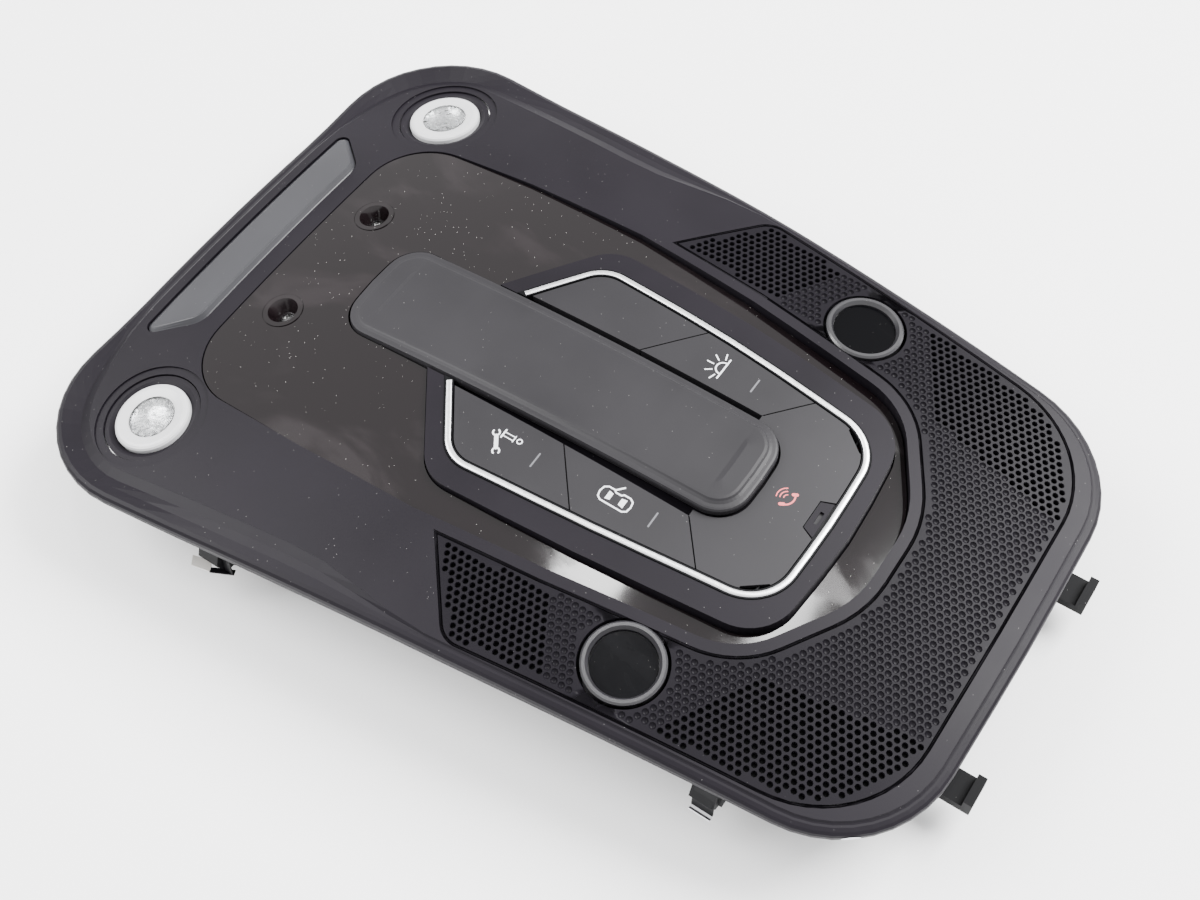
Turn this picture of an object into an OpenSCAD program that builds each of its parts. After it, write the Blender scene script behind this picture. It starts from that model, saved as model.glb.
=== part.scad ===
// Overhead console with two reading lamps, switch panel and perforated rear field.
// X runs from the lamp end (-X) to the rear end (+X), Y across, +Z out of the visible face.
// The origin is on the lowest face of the housing, below the crown.

/* [Console] */
// Length of the bezel from the lamp end to the rear end
console_length = 276; // [264:1:292]
// Width of the bezel at the lamp end
console_width = 205; // [196:1:214]
// Height of the crown over the lowest face of the housing
crown_height = 44; // [42:0.5:50]
// Radius of the crowned face
crown_radius = 768; // [720:1:900]
// Thickness of the bezel wall
bezel_wall = 2.4; // [2.2:0.1:2.8]
// Depth of the bezel flank below the crowned face
flank_depth = 5.2; // [4.6:0.1:6]
// Width of the sloped border at the lamp end
border_width = 10; // [8:0.1:11]
// Width of the edge rounding beside the perforated field
edge_width = 3.4; // [2.6:0.1:3.6]
// Fall of the sloped border from the crowned face
border_fall = 1; // [0.8:0.1:1.4]
// Share by which the flank thins out towards both ends
flank_taper = 0.5; // [0.3:0.05:0.55]
// Rise of the border's rim at the lamp-end corners
corner_rise = 3.2; // [2:0.1:4]

/* [Perforated field] */
// Thickness of the perforated insert
grille_wall = 1.5; // [1.3:0.1:1.6]
// Distance between neighbouring holes
hole_pitch = 3.5; // [3.3:0.1:4.2]
// Width of a hole over its corners
hole_size = 2.4; // [1.8:0.1:2.6]
// Width of the lip between the gloss panel and the perforated insert
lip_width = 3.2; // [2.8:0.1:3.6]

/* [Gloss panel] */
// Thickness of the gloss panel
gloss_wall = 2; // [1.8:0.1:2.4]
// Fall of the gloss panel below the crown at its rear end
moat_depth = 4; // [3.5:0.1:5]
// Diameter of the ambient light funnel over its flange
funnel_d = 12.4; // [11:0.1:14]
// Diameter of the light outlet in the funnel
outlet_d = 4.2; // [3.6:0.1:5]

/* [Switch panel] */
// Width of the bright strip
strip_width = 2.5; // [2:0.1:3]
// Depth of the bright strip
strip_depth = 0.9; // [0.8:0.05:1.1]
// Height of the switch caps from face to skirt
cap_height = 4; // [3.6:0.1:4.4]
// Wall of the switch caps
cap_wall = 1.4; // [1.2:0.1:1.6]
// Travel of the switch caps
switch_travel = 0.8; // [0.5:0.1:0.9]
// Width of the tongue at the lamp end
tongue_width = 35.4; // [34:0.1:36.4]
// Rise of the tongue at its rear end
tongue_rise = 3.6; // [3:0.1:4]
// Thickness of the emergency flap
flap_wall = 1.6; // [1.4:0.1:1.8]
// Diameter of the emergency push button
emergency_d = 11; // [10:0.1:11.6]
// Diameter of the flap hinge pins
hinge_d = 1; // [0.8:0.05:1.1]

/* [Reading lamps] */
// Diameter of the milky ring of a reading lamp
lamp_ring_d = 23; // [21:0.1:24]
// Diameter of the clear lens of a reading lamp
lamp_lens_d = 13.8; // [12:0.1:15]
// Diameter of the dark trim ring of a reading lamp
lamp_trim_d = 29.4; // [28:0.1:31]

/* [Round covers] */
// Diameter of the round cover ring in the perforated field
cover_d = 22.4; // [20:0.1:23.4]
// Width of the round cover ring
cover_ring_w = 2.1; // [1.8:0.1:2.6]

/* [Back] */
// Wall of the rear housing
housing_wall = 2.2; // [2:0.1:2.6]
// Thickness of the circuit board
board_wall = 1.6; // [1.2:0.1:2]
// Width of the connector cavity
plug_width = 26; // [22:0.5:30]
// Height of the connector cavity
plug_height = 9; // [8:0.5:10]
// Thickness of the metal clip sheet
clip_sheet = 0.8; // [0.6:0.1:1]
// Diameter of the housing screws
screw_d = 3; // [2.6:0.1:3.4]

/* [Clearances] */
// Visible gap between fixed panels
panel_gap = 0.4; // [0.3:0.05:0.5]
// Gap around the moving caps
cap_gap = 0.35; // [0.3:0.05:0.45]
// Running clearance of the hinge pin
pin_gap = 0.1; // [0.08:0.01:0.15]

/* [Hidden] */
$fn = 72;
sx = console_length / 276;
sy = console_width / 205;
crown_x = 8 * sx;
crown_cz = crown_height - crown_radius;
carrier_d = 9;
carrier_wall = 2.2;
skirt_d = 3.9;
skirt_inset = 2.8;
floor_d = 5.4;
floor_wall = 1.5;
frame_wall = 4.4;
board_z = 20;
cover_at_z = 4.8;
hinge_x = 75.5 * sx;
hinge_z = crown_z(hinge_x, 0) - strip_depth - hinge_d / 2 - 0.6;
flap_reach = 5.2;
emergency_x = 68.8 * sx;
stem_d = 4;
switch_top = board_z + board_wall + 5;
tilt_angle = atan(tongue_rise / (134 * sx));
moat_from = -105 * sx;
moat_angle = atan(moat_depth / (99 * sx - moat_from));

// Corner lists of the half outlines with y >= 0, from the rear end to the lamp end: x, y, radius
bezel_half = [[141.4, 0, 900], [140, 71.2, 36], [20, 86, 900], [-135, 102, 37]];
carrier_half = [[134.6, 0, 900], [133.4, 65.5, 32], [20, 80, 900], [-123, 91, 38]];
gloss_half = [[98.8, 15, 32], [80.5, 44.8, 24], [-14, 58, 500], [-104.2, 55.6, 20]];
field_half = [[133.3, 0, 1500], [132.6, 67.8, 34], [15.5, 83, 8], [-9.5, 53.2, 3]];
frame_half = [[88.7, 0, 150], [85.3, 38, 15], [30, 44.8, 600], [-17.3, 47, 13], [-40.5, 15, 4]];
strip_half = [[82.3, 0, 250], [81, 30, 14], [30, 36, 600], [-15.2, 38.9, 11], [-31.5, 16.5, 3],
    [-40, 5, 2]];
trim_half = [[-110.4, 37, 8], [-126.4, 50, 2.8]];
box_half = [[84, 48, 8], [-86, 52, 8]];
lamp_at = [-100.8 * sx, 69.9 * sy];
cover_at = [58.3 * sx, 62.6 * sy];
funnel_at = [-90.8 * sx, 21.8 * sy];
tongue_body = 4.6;
tongue_half = [[61.5, 0, 90], [60.5, tongue_width / sy / 2 - 1.7, 10],
    [-72.5, tongue_width / sy / 2, 10], [-74, 0, 80]];

function unit(v) = v / norm(v);
function full(h) = let (n = len(h), a = h[0][1] == 0 ? 1 : 0, z = h[n - 1][1] == 0 ? 2 : 1)
    [for (p = h) [p[0] * sx, p[1] * sy, p[2]],
     for (i = [n - z:-1:a]) [h[i][0] * sx, -h[i][1] * sy, h[i][2]]];
// Rounds the corners of a loop: each point is x, y and the outward direction
function rounded(c, step = 9, far = 12) = let (n = len(c), arcs = [for (i = [0:n - 1])
    let (a = c[(i + n - 1) % n], b = c[i], e = c[(i + 1) % n],
        d = unit([b[0] - a[0], b[1] - a[1]]), f = unit([e[0] - b[0], e[1] - b[1]]),
        turn = atan2(d[0] * f[1] - d[1] * f[0], d * f), s = sign(turn), r = b[2],
        t = r * tan(abs(turn) / 2), k = max(2, ceil(abs(turn) / step)),
        m = [b[0] - d[0] * t - s * r * d[1], b[1] - d[1] * t + s * r * d[0]])
    [for (j = [0:k]) let (w = turn * j / k, u = [d[1] * cos(w) + d[0] * sin(w),
        -d[0] * cos(w) + d[1] * sin(w)]) [m[0] + s * r * u[0], m[1] + s * r * u[1], u[0], u[1]]]])
    [for (i = [0:n - 1]) let (p = arcs[i], q = arcs[(i + 1) % n][0], o = p[len(p) - 1],
        g = norm([q[0] - o[0], q[1] - o[1]]), k = max(1, ceil(g / far)))
        each concat(p, k < 2 ? [] : [for (j = [1:k - 1])
            [o[0] + (q[0] - o[0]) * j / k, o[1] + (q[1] - o[1]) * j / k, q[2], q[3]]])];
function inset(l, s) = [for (p = l) [p[0] - s * p[2], p[1] - s * p[3]]];
function crown_z(x, y, r = crown_radius) =
    crown_cz + sqrt(r * r - (x - crown_x) * (x - crown_x) - y * y);
// Share of the lamp-end border at x: 1 at the lamp end, 0 beside the perforated field
function blend(x) = let (t = min(1, max(0, (12 * sx - x) / (45 * sx)))) t * t * (3 - 2 * t);

bezel_line = rounded(full(bezel_half));
gloss_line = rounded(full(gloss_half), 7, 60);
field_line = rounded(full(field_half), 7, 60);
frame_line = rounded(full(frame_half), 8, 80);
strip_line = rounded(full(strip_half), 8, 80);
trim_line = rounded(full(trim_half), 9, 12);
tongue_line = rounded(full(tongue_half), 9, 12);
box_line = rounded(full(box_half), 15, 400);
carrier_line = rounded(full(carrier_half), 12, 400);

// Solid below the crowned face, d above it
module crown(d = 0) {
    translate([crown_x, 0, crown_cz]) rotate([90, 0, 0]) sphere(r = crown_radius + d, $fn = 180);
}
// Same solid turned about the lamp end of the tongue
module raised(d = 0) {
    translate([-74 * sx, 0, crown_z(-74 * sx, 0)]) rotate([0, -tilt_angle, 0])
        translate([74 * sx, 0, -crown_z(-74 * sx, 0)]) crown(d);
}
// Same solid turned down about the lamp end of the gloss panel
module lowered(d = 0) {
    translate([moat_from, 0, crown_z(moat_from, 0)]) rotate([0, moat_angle, 0])
        translate([-moat_from, 0, -crown_z(moat_from, 0)]) crown(d);
}
module prism(points, low = 0, high = 60) {
    translate([0, 0, low]) linear_extrude(high - low) polygon([for (p = points) [p[0], p[1]]]);
}
module plate(points, top, bottom) {
    difference() {
        intersection() {
            prism(points, 8);
            crown(top);
        }
        crown(bottom);
    }
}
// Stands a piece on the crowned face at p, its own Z along the face normal
module on_crown(p) {
    a = -asin(p[1] / crown_radius);
    b = asin((p[0] - crown_x) / (crown_radius * cos(a)));
    translate([p[0], p[1], crown_z(p[0], p[1])]) rotate([a, b, 0]) children();
}
module disc(d, low, high) {
    translate([0, 0, low]) cylinder(d = d, h = high - low);
}
module ring(outer, inner, low, high) {
    difference() {
        disc(outer, low, high);
        disc(inner, low - 1, high + 1);
    }
}
// Closed rim band: the loops of rings lie one after the other around the band
module rim(rings) {
    n = len(rings[0]);
    m = len(rings);
    polyhedron([for (r = rings) each r], [for (j = [0:m - 1]) for (i = [0:n - 1])
        [j * n + i, ((j + 1) % m) * n + i, ((j + 1) % m) * n + (i + 1) % n, j * n + (i + 1) % n]]);
}
// Closed body of loops that lie one over the other, each symmetric about X, closed by flat strips
module capped(rings) {
    n = len(rings[0]);
    m = len(rings);
    b = (m - 1) * n;
    polyhedron([for (r = rings) each r], concat(
        [for (j = [0:m - 2]) for (i = [0:n - 1])
            [j * n + i, (j + 1) * n + i, (j + 1) * n + (i + 1) % n, j * n + (i + 1) % n]],
        [for (i = [0:n / 2 - 1]) let (p = (1 + i) % n, q = (2 + i) % n, u = (n + 1 - i) % n,
            v = (n - i) % n) each concat([p == u ? [p, q, v] : q == v ? [p, q, u] : [p, q, v, u]],
            [p == u ? [b + v, b + q, b + p] : q == v ? [b + u, b + q, b + p]
                : [b + u, b + v, b + q, b + p]])]));
}
module both() {
    children();
    mirror([0, 1, 0]) children();
}

function corner_share(y) = let (t = min(1, max(0, (abs(y) / sy - 42) / 30))) t * t * (3 - 2 * t);
function border_inset(p) = edge_width + (border_width - edge_width) * blend(p[0])
    * (p[0] > -124 * sx ? 1 : 0.3 + 0.7 * corner_share(p[1]));
function flank_share(x) = 1 - flank_taper * min(1, max(0, (abs(x / sx - 10) - 40) / 100));
function soft(t) = let (u = min(1, max(0, t))) u * u * (3 - 2 * u);
function corner_lift(p) = corner_rise * soft((-62 - p[0] / sx) / 60) * soft((abs(p[1]) / sy - 38) / 46);
function border_loop(share, s, fall, d) = [for (p = bezel_line)
    let (w = border_inset(p), a = share * w + s, x = p[0] - a * p[2], y = p[1] - a * p[3],
        f = fall * (0.55 + 0.45 * blend(p[0])), e = share > 0 ? d : d * flank_share(p[0]))
    [x, y, crown_z(x, y) - f * border_fall - e + corner_lift(p) * max(0, 1 - 1.6 * share)]];
plate_line = [for (p = bezel_line) let (w = border_inset(p)) [p[0] - w * p[2], p[1] - w * p[3]]];

module main_bezel() {
    color([0.13, 0.13, 0.14]) difference() {
        union() {
            rim([border_loop(0, 0, 1, flank_depth - 1), border_loop(0, 0, 1, 2.2),
                border_loop(0, 0.3, 1, 1.1), border_loop(0, 1, 1, 0.4),
                border_loop(0, 2, 1, 0.05), border_loop(0.3, 1.6, 1.1, 0),
                border_loop(0.62, 0.9, 0.9, 0), border_loop(1, 0, 0.05, 0), border_loop(1, 0.8, 0, 0.25),
                border_loop(1, 0.8, 0, bezel_wall - 0.2), border_loop(0, 2.4, 1, 2.6),
                border_loop(0, 1.9, 1, flank_depth - 1)]);
            plate(plate_line, 0, -bezel_wall);
            difference() {
                plate(inset(gloss_line, -lip_width + panel_gap), -0.5, -7.5);
                prism(inset(gloss_line, 0));
            }
            for (p = boss_at) both() difference() {
                translate([p[0], p[1], 8]) cylinder(d = 7, h = 40);
                crown(-carrier_d);
                difference() {
                    translate([p[0], p[1], 0]) cylinder(d = 20, h = 80);
                    crown(-0.6);
                }
            }
        }
        prism(inset(gloss_line, 0));
        difference() {
            prism(inset(field_line, 0), 8);
            prism(inset(gloss_line, -lip_width));
            crown(-grille_wall - 0.04);
        }
        difference() {
            prism(inset(field_line, 1.6), 8);
            prism(inset(gloss_line, -lip_width - 1.6));
        }
        difference() {
            prism(trim_line, 8);
            crown(-1.4);
        }
        prism(inset(trim_line, 1.6), 8);
        both() on_crown(lamp_at) {
            disc(lamp_trim_d + 0.6, -30, 5);
            disc(lamp_trim_d + 5.6, -0.7, 5);
        }
        both() on_crown(cover_at) disc(cover_d + 0.5, -10, 5);
        for (p = boss_at) both() translate([p[0], p[1], 0])
            cylinder(d = screw_d, h = crown_z(p[0], p[1]) - 2.6);
    }
}
boss_at = [[-56 * sx, 72 * sy], [-20 * sx, 70 * sy]];

function zone_front(x, y) = x > -1 * sx && x < (30.6 + (abs(y) / sy - 53.7) * 0.58) * sx;
function zone_rear(x, y) = let (v = abs(y) / sy, u = x / sx)
    u > 75.7 + (71 - v) * 0.56 && v > 46.3 - (u - 89.5) * 0.22;
function inside(x, y, l, s) = min([for (i = [0:len(l) - 1]) let (a = l[i], b = l[(i + 1) % len(l)],
    e = [b[0] - a[0], b[1] - a[1]]) (e[0] * (y - a[1]) - e[1] * (x - a[0])) / max(norm(e), 1e-6)
    ]) > s;
hole_half = hole_size * 0.62;
holes = [for (i = [-8:50]) for (j = [0:36]) let (x = (i + (j % 2) / 2) * hole_pitch,
    y = j * hole_pitch * 0.866) if ((zone_front(x, y) || zone_rear(x, y))
    && inside(x, y, field_line, hole_half + 1.7) && !inside(x, y, gloss_line, -lip_width - 1.7
    - hole_half) && norm([x - cover_at[0], y - cover_at[1]]) > cover_d / 2 + hole_half + 0.8) [x, y]];

module speaker_grille() {
    color([0.12, 0.12, 0.13]) difference() {
        plate(inset(field_line, panel_gap * 0.6), -0.1, -grille_wall);
        prism(inset(gloss_line, -lip_width - panel_gap * 0.6));
        both() on_crown(cover_at) disc(cover_d + 0.5, -10, 5);
        for (h = holes) for (s = [-1, 1]) translate([h[0], s * h[1], 30])
            cylinder(d = hole_size, h = 20, $fn = 6);
    }
}

module gloss_panel() {
    color([0.05, 0.04, 0.05]) difference() {
        union() {
            difference() {
                intersection() {
                    prism(inset(gloss_line, panel_gap), 8);
                    lowered(-0.15);
                }
                lowered(-gloss_wall);
            }
            difference() {
                intersection() {
                    prism(inset(gloss_line, panel_gap), 8);
                    lowered(-0.6);
                }
                prism(inset(gloss_line, panel_gap + 2));
                crown(-carrier_d);
            }
        }
        prism(inset(frame_line, -panel_gap), 8);
        prism(inset(tongue_line, -panel_gap), 8);
        both() translate([funnel_at[0], funnel_at[1], 10]) cylinder(d = funnel_d - 2, h = 40);
        both() on_crown(funnel_at) disc(funnel_d + 0.3, -1, 5);
    }
}

// Ring carrying the bright strip, with a guide floor and a skirt down to the housing
module button_frame() {
    color([0.14, 0.14, 0.15]) difference() {
        union() {
            difference() {
                plate(frame_line, -0.1, -frame_wall);
                prism(inset(strip_line, strip_width / 2));
            }
            difference() {
                plate(frame_line, -0.5, -carrier_d);
                prism(inset(frame_line, 1.8));
            }
            plate(inset(frame_line, 1), -floor_d, -floor_d - floor_wall);
        }
        difference() {
            prism(inset(strip_line, -strip_width / 2 - 0.15));
            crown(-strip_depth - 0.04);
            prism(inset(strip_line, strip_width / 2 + 0.6));
        }
        difference() {
            prism(inset(tongue_line, -panel_gap), 8);
            crown(-floor_d);
        }
        for (p = stem_at) translate([p[0], p[1], 8]) cylinder(d = stem_d + 0.7, h = 40);
        translate([emergency_x, 0, 8]) cylinder(d = stem_d + 0.7, h = 40);
        intersection() {
            translate([hinge_x, 26 * sy, hinge_z]) rotate([90, 0, 0])
                cylinder(r = flap_reach + 0.3, h = 52 * sy);
            prism(inset(strip_line, 0.3), 8);
        }
        translate([hinge_x, 28.1 * sy, hinge_z]) rotate([90, 0, 0])
            cylinder(d = hinge_d, h = 56.2 * sy);
    }
}

module bright_strip() {
    color([0.86, 0.87, 0.88]) difference() {
        plate(inset(strip_line, -strip_width / 2), 0.25, -strip_depth);
        prism(inset(strip_line, strip_width / 2));
        prism(inset(tongue_line, -panel_gap), 8);
    }
}

module center_tongue() {
    color([0.15, 0.15, 0.16]) {
        capped([tongue_loop(0.6, tongue_body), tongue_loop(0, 3.2), tongue_loop(0, 1.6),
            tongue_loop(0.35, 1.1), tongue_loop(0.9, 0.95), tongue_loop(1.8, 0.85),
            tongue_loop(2.6, 0.5), tongue_loop(3.1, 0.12), tongue_loop(3.9, 0), tongue_loop(8.6, 0)]);
        for (q = [[-58, carrier_d], [-20, floor_d], [30, floor_d]]) difference() {
            intersection() {
                translate([q[0] * sx, 0, 20]) cylinder(d = 8, h = 30);
                raised(-3);
            }
            crown(-q[1]);
        }
    }
}
function tongue_loop(s, d) = [for (p = tongue_line) let (x = p[0] - s * p[2], y = p[1] - s * p[3],
    k = (p[0] + 74 * sx) / (134 * sx), e = d > 1.5 ? d : d * min(1, 0.25 + 0.75 * k))
    [x, y, crown_z(x, y) + k * tongue_rise - e]];

// Face edges of the split lines between the caps
split_a = 9.8;
split_b = 50.1;
split_run = 0.81;
module cap_zone(from, to, side) {
    g = cap_gap * 0.64;
    y0 = 18.9;
    y1 = 50;
    scale([1, side, 1]) prism([[(from + split_run * (y0 - 19)) * sx + g, y0 * sy],
        [(to + split_run * (y0 - 19)) * sx - g, y0 * sy],
        [(to + split_run * (y1 - 19)) * sx - g, y1 * sy],
        [(from + split_run * (y1 - 19)) * sx + g, y1 * sy]], 8);
}
module cap(from, to, side, stem) {
    difference() {
        intersection() {
            prism(inset(strip_line, strip_width / 2 + cap_gap), 8);
            cap_zone(from, to, side);
            crown(0);
        }
        crown(-cap_height);
        difference() {
            intersection() {
                prism(inset(strip_line, strip_width / 2 + cap_gap + cap_wall), 8);
                scale([1, side, 1]) prism([[-60, 18.9 * sy + cap_wall], [120, 18.9 * sy + cap_wall],
                    [120, 60], [-60, 60]], 8);
            }
            difference() {
                prism([[-200, -200], [200, -200], [200, 200], [-200, 200]], 5);
                crown(-cap_wall);
            }
        }
    }
}

// Stem under a cap, down to height low
module stem(p, low) {
    intersection() {
        translate([p[0], p[1], low]) cylinder(d = stem_d, h = 40);
        crown(-cap_wall + 0.1);
    }
}
module blank_cap() {
    color([0.15, 0.15, 0.16]) {
        cap(-70, split_a, 1);
        for (x = [-16, 4]) difference() {
            stem([x * sx, 26 * sy], 20);
            crown(-floor_d);
        }
    }
}
module interior_light_button() {
    color([0.15, 0.15, 0.16]) {
        cap(split_a, split_b, 1);
        stem(stem_at[0], switch_top);
    }
}
module breakdown_button() {
    color([0.15, 0.15, 0.16]) {
        cap(-70, split_a, -1);
        stem(stem_at[1], switch_top);
    }
}
module door_light_button() {
    color([0.15, 0.15, 0.16]) {
        cap(split_a, split_b, -1);
        stem(stem_at[2], switch_top);
    }
}

module flap_blank(gap) {
    intersection() {
        prism(inset(strip_line, strip_width / 2 + cap_gap), 8);
        union() {
            both() cap_zone(split_b, 90, 1);
            prism([[50 * sx, -19 * sy], [90 * sx, -19 * sy], [90 * sx, 19 * sy],
                [50 * sx, 19 * sy]], 8);
        }
    }
}
module tab_prism(s) {
    prism([[78.5 * sx - 1.75 - s, -4.5 * sy - s], [78.5 * sx + 6, -8.2 * sy - s],
        [78.5 * sx + 6, 8.2 * sy + s], [78.5 * sx - 1.75 - s, 4.5 * sy + s]], 8);
}
module emergency_flap() {
    color([0.15, 0.15, 0.16]) difference() {
        union() {
            difference() {
                intersection() {
                    flap_blank();
                    crown(0);
                }
                crown(-flap_wall);
                difference() {
                    translate([hinge_x, -60, hinge_z - 9]) cube([30, 120, 40]);
                    translate([hinge_x, 60, hinge_z]) rotate([90, 0, 0])
                        cylinder(r = flap_reach, h = 120);
                }
            }
            both() intersection() {
                translate([hinge_x, 22.4 * sy, hinge_z]) rotate([90, 0, 0])
                    cylinder(d = hinge_d + 1.8, h = 2.4 * sy);
                crown(-0.5);
            }
        }
        prism(inset(tongue_line, -panel_gap - 0.2), 8);
        both() prism([[77.8 * sx, 23.8 * sy], [90 * sx, 23.8 * sy], [90 * sx, 40 * sy],
            [71.8 * sx, 40 * sy], [71.8 * sx, 28.6 * sy]], 8);
        difference() {
            tab_prism(0.25);
            crown(-0.9);
        }
        translate([hinge_x, 60, hinge_z]) rotate([90, 0, 0])
            cylinder(d = hinge_d + 2 * pin_gap, h = 120);
    }
}
module flap_tab() {
    color([0.13, 0.13, 0.14]) on_crown([78.5 * sx, 0]) difference() {
        translate([0, 0, -0.87]) linear_extrude(0.82) polygon([[-1.75, -4.5 * sy], [1.75, -6 * sy],
            [1.75, 6 * sy], [-1.75, 4.5 * sy]]);
        translate([-0.3, -2.1, -2]) cube([1.1, 4.2, 5]);
    }
}
module emergency_button() {
    top = crown_z(emergency_x, 0) - flap_wall - 1.2;
    color([0.55, 0.06, 0.06]) {
        translate([emergency_x, 0, top - cap_wall]) cylinder(d = emergency_d, h = cap_wall);
        translate([emergency_x, 0, switch_top]) cylinder(d = stem_d, h = top - switch_top - 0.5);
    }
}
module hinge_pins() {
    color([0.7, 0.7, 0.72]) both() translate([hinge_x, 28 * sy, hinge_z]) rotate([90, 0, 0])
        cylinder(d = hinge_d, h = 8 * sy);
}

module front_trim() {
    color([0.17, 0.17, 0.19]) {
        rim([trim_loop(panel_gap, 0, 1.4), trim_loop(panel_gap, 0, 0.7), trim_loop(0.8, 0.1, 0.45),
            trim_loop(1.3, 0.5, 0.2), trim_loop(1.7, 0.9, 0.05), trim_loop(2, 1, 0.02),
            trim_loop(2.5, 1, 0.1), trim_loop(2.5, 0, 1.4)]);
        difference() {
            intersection() {
                prism(inset(trim_line, 2), 8);
                translate([-127 * sx, 0, crown_z(-127 * sx, 0)]) rotate([0, -trim_angle, 0])
                    translate([127 * sx, 0, -crown_z(-127 * sx, 0)]) crown(0);
            }
            crown(-1.4);
        }
    }
}
trim_angle = 4.5;
function trim_loop(s, k, d) = [for (p = trim_line) let (x = p[0] - s * p[2], y = p[1] - s * p[3])
    [x, y, crown_z(x, y) + k * tan(trim_angle) * max(0, x + 127 * sx) - d]];

// Reading lamp pieces, each built in the frame of the lamp seat
module lamp_trim() {
    color([0.08, 0.08, 0.09]) on_crown(lamp_at) difference() {
        disc(lamp_trim_d, -3, -1.2);
        translate([0, 0, -2]) cylinder(d1 = lamp_ring_d + 0.6, d2 = lamp_ring_d + 4.6, h = 1);
        disc(lamp_ring_d + 0.6, -4, 0);
    }
}
module lamp_ring() {
    color([0.93, 0.93, 0.94]) on_crown(lamp_at) rotate_extrude() polygon([
        [lamp_lens_d / 2 + 0.15, -4], [lamp_ring_d / 2, -4], [lamp_ring_d / 2, -1],
        [lamp_ring_d / 2 - 0.35, -0.45], [lamp_ring_d / 2 - 1, -0.15], [lamp_ring_d / 2 - 1.8, -0.1],
        [lamp_lens_d / 2 + 0.9, -0.4], [lamp_lens_d / 2 + 0.15, -0.6]]);
}
module lamp_lens() {
    color([0.82, 0.84, 0.86]) on_crown(lamp_at) intersection() {
        disc(lamp_lens_d, -4, 5);
        translate([0, 0, 0.1 - 60]) sphere(r = 60, $fn = 180);
    }
}
module lamp_cup() {
    color([0.06, 0.06, 0.07]) on_crown(lamp_at) difference() {
        disc(lamp_trim_d - 0.6, 0.05 - carrier_d, -3);
        disc(lamp_ring_d + 0.5, -4, 0);
        disc(lamp_ring_d - 3, -7.4, 0);
    }
}
module lamp_board() {
    color([0.1, 0.3, 0.16]) on_crown(lamp_at) union() {
        disc(lamp_ring_d - 4, -7.4, -6.4);
        translate([-1.7, -1.7, -6.5]) cube([3.4, 3.4, 1.1]);
    }
}
module cover_ring() {
    color([0.1, 0.1, 0.11]) on_crown(cover_at) difference() {
        union() {
            disc(cover_d, 0.05 - carrier_d, 0);
            translate([0, 0, -0.01]) cylinder(d1 = cover_d, d2 = cover_d - 1, h = 0.5);
        }
        translate([0, 0, -0.6]) cylinder(d1 = cover_d - 2 * cover_ring_w,
            d2 = cover_d - 2 * cover_ring_w + 1.6, h = 1.2);
        disc(cover_d - 2 * cover_ring_w, -2.4, 4);
        disc(cover_d - 2 * cover_ring_w - 1.6, -14, 4);
    }
}
module cover_disc() {
    color([0.03, 0.03, 0.03]) on_crown(cover_at) disc(cover_d - 2 * cover_ring_w - 0.4, -2.4, -1.2);
}
module sensor_pod() {
    color([0.2, 0.2, 0.2]) on_crown(cover_at) union() {
        disc(cover_d - 2 * cover_ring_w - 3.2, 0.05 - carrier_d, -4);
        disc(9, -4.1, -2.4);
    }
}
module funnel() {
    color([0.05, 0.05, 0.05]) on_crown(funnel_at) difference() {
        union() {
            disc(funnel_d, -1, -0.3);
            disc(funnel_d - 2.6, 0.05 - carrier_d, -0.5);
        }
        translate([0, 0, -4.5]) cylinder(d1 = outlet_d + 1, d2 = funnel_d - 3, h = 4.3);
        disc(outlet_d + 0.3, -6, 0);
    }
}
module light_outlet() {
    color([0.9, 0.9, 0.92]) on_crown(funnel_at) union() {
        disc(outlet_d, -6, -5);
        intersection() {
            translate([0, 0, -5]) sphere(d = outlet_d - 0.4);
            disc(outlet_d, -5.5, 5);
        }
    }
}

// Back of the console
stem_at = [[31.7 * sx, 26.5 * sy], [-4.9 * sx, -26.1 * sy], [30.9 * sx, -26 * sy]];
ear_at = [[62 * sx, 52.9 * sy], [-68 * sx, 55.9 * sy]];
post_at = [[-76 * sx, 40 * sy], [30 * sx, 46 * sy]];
post_d = 6.4;
pin_d = 3;
clip_at = [[-63 * sx, 86.5 * sy], [90 * sx, 70 * sy]];
hook_y = 34 * sy;
socket_front = -94 * sx;
socket_w = plug_width + 4;
socket_h = plug_height + 3;

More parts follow.
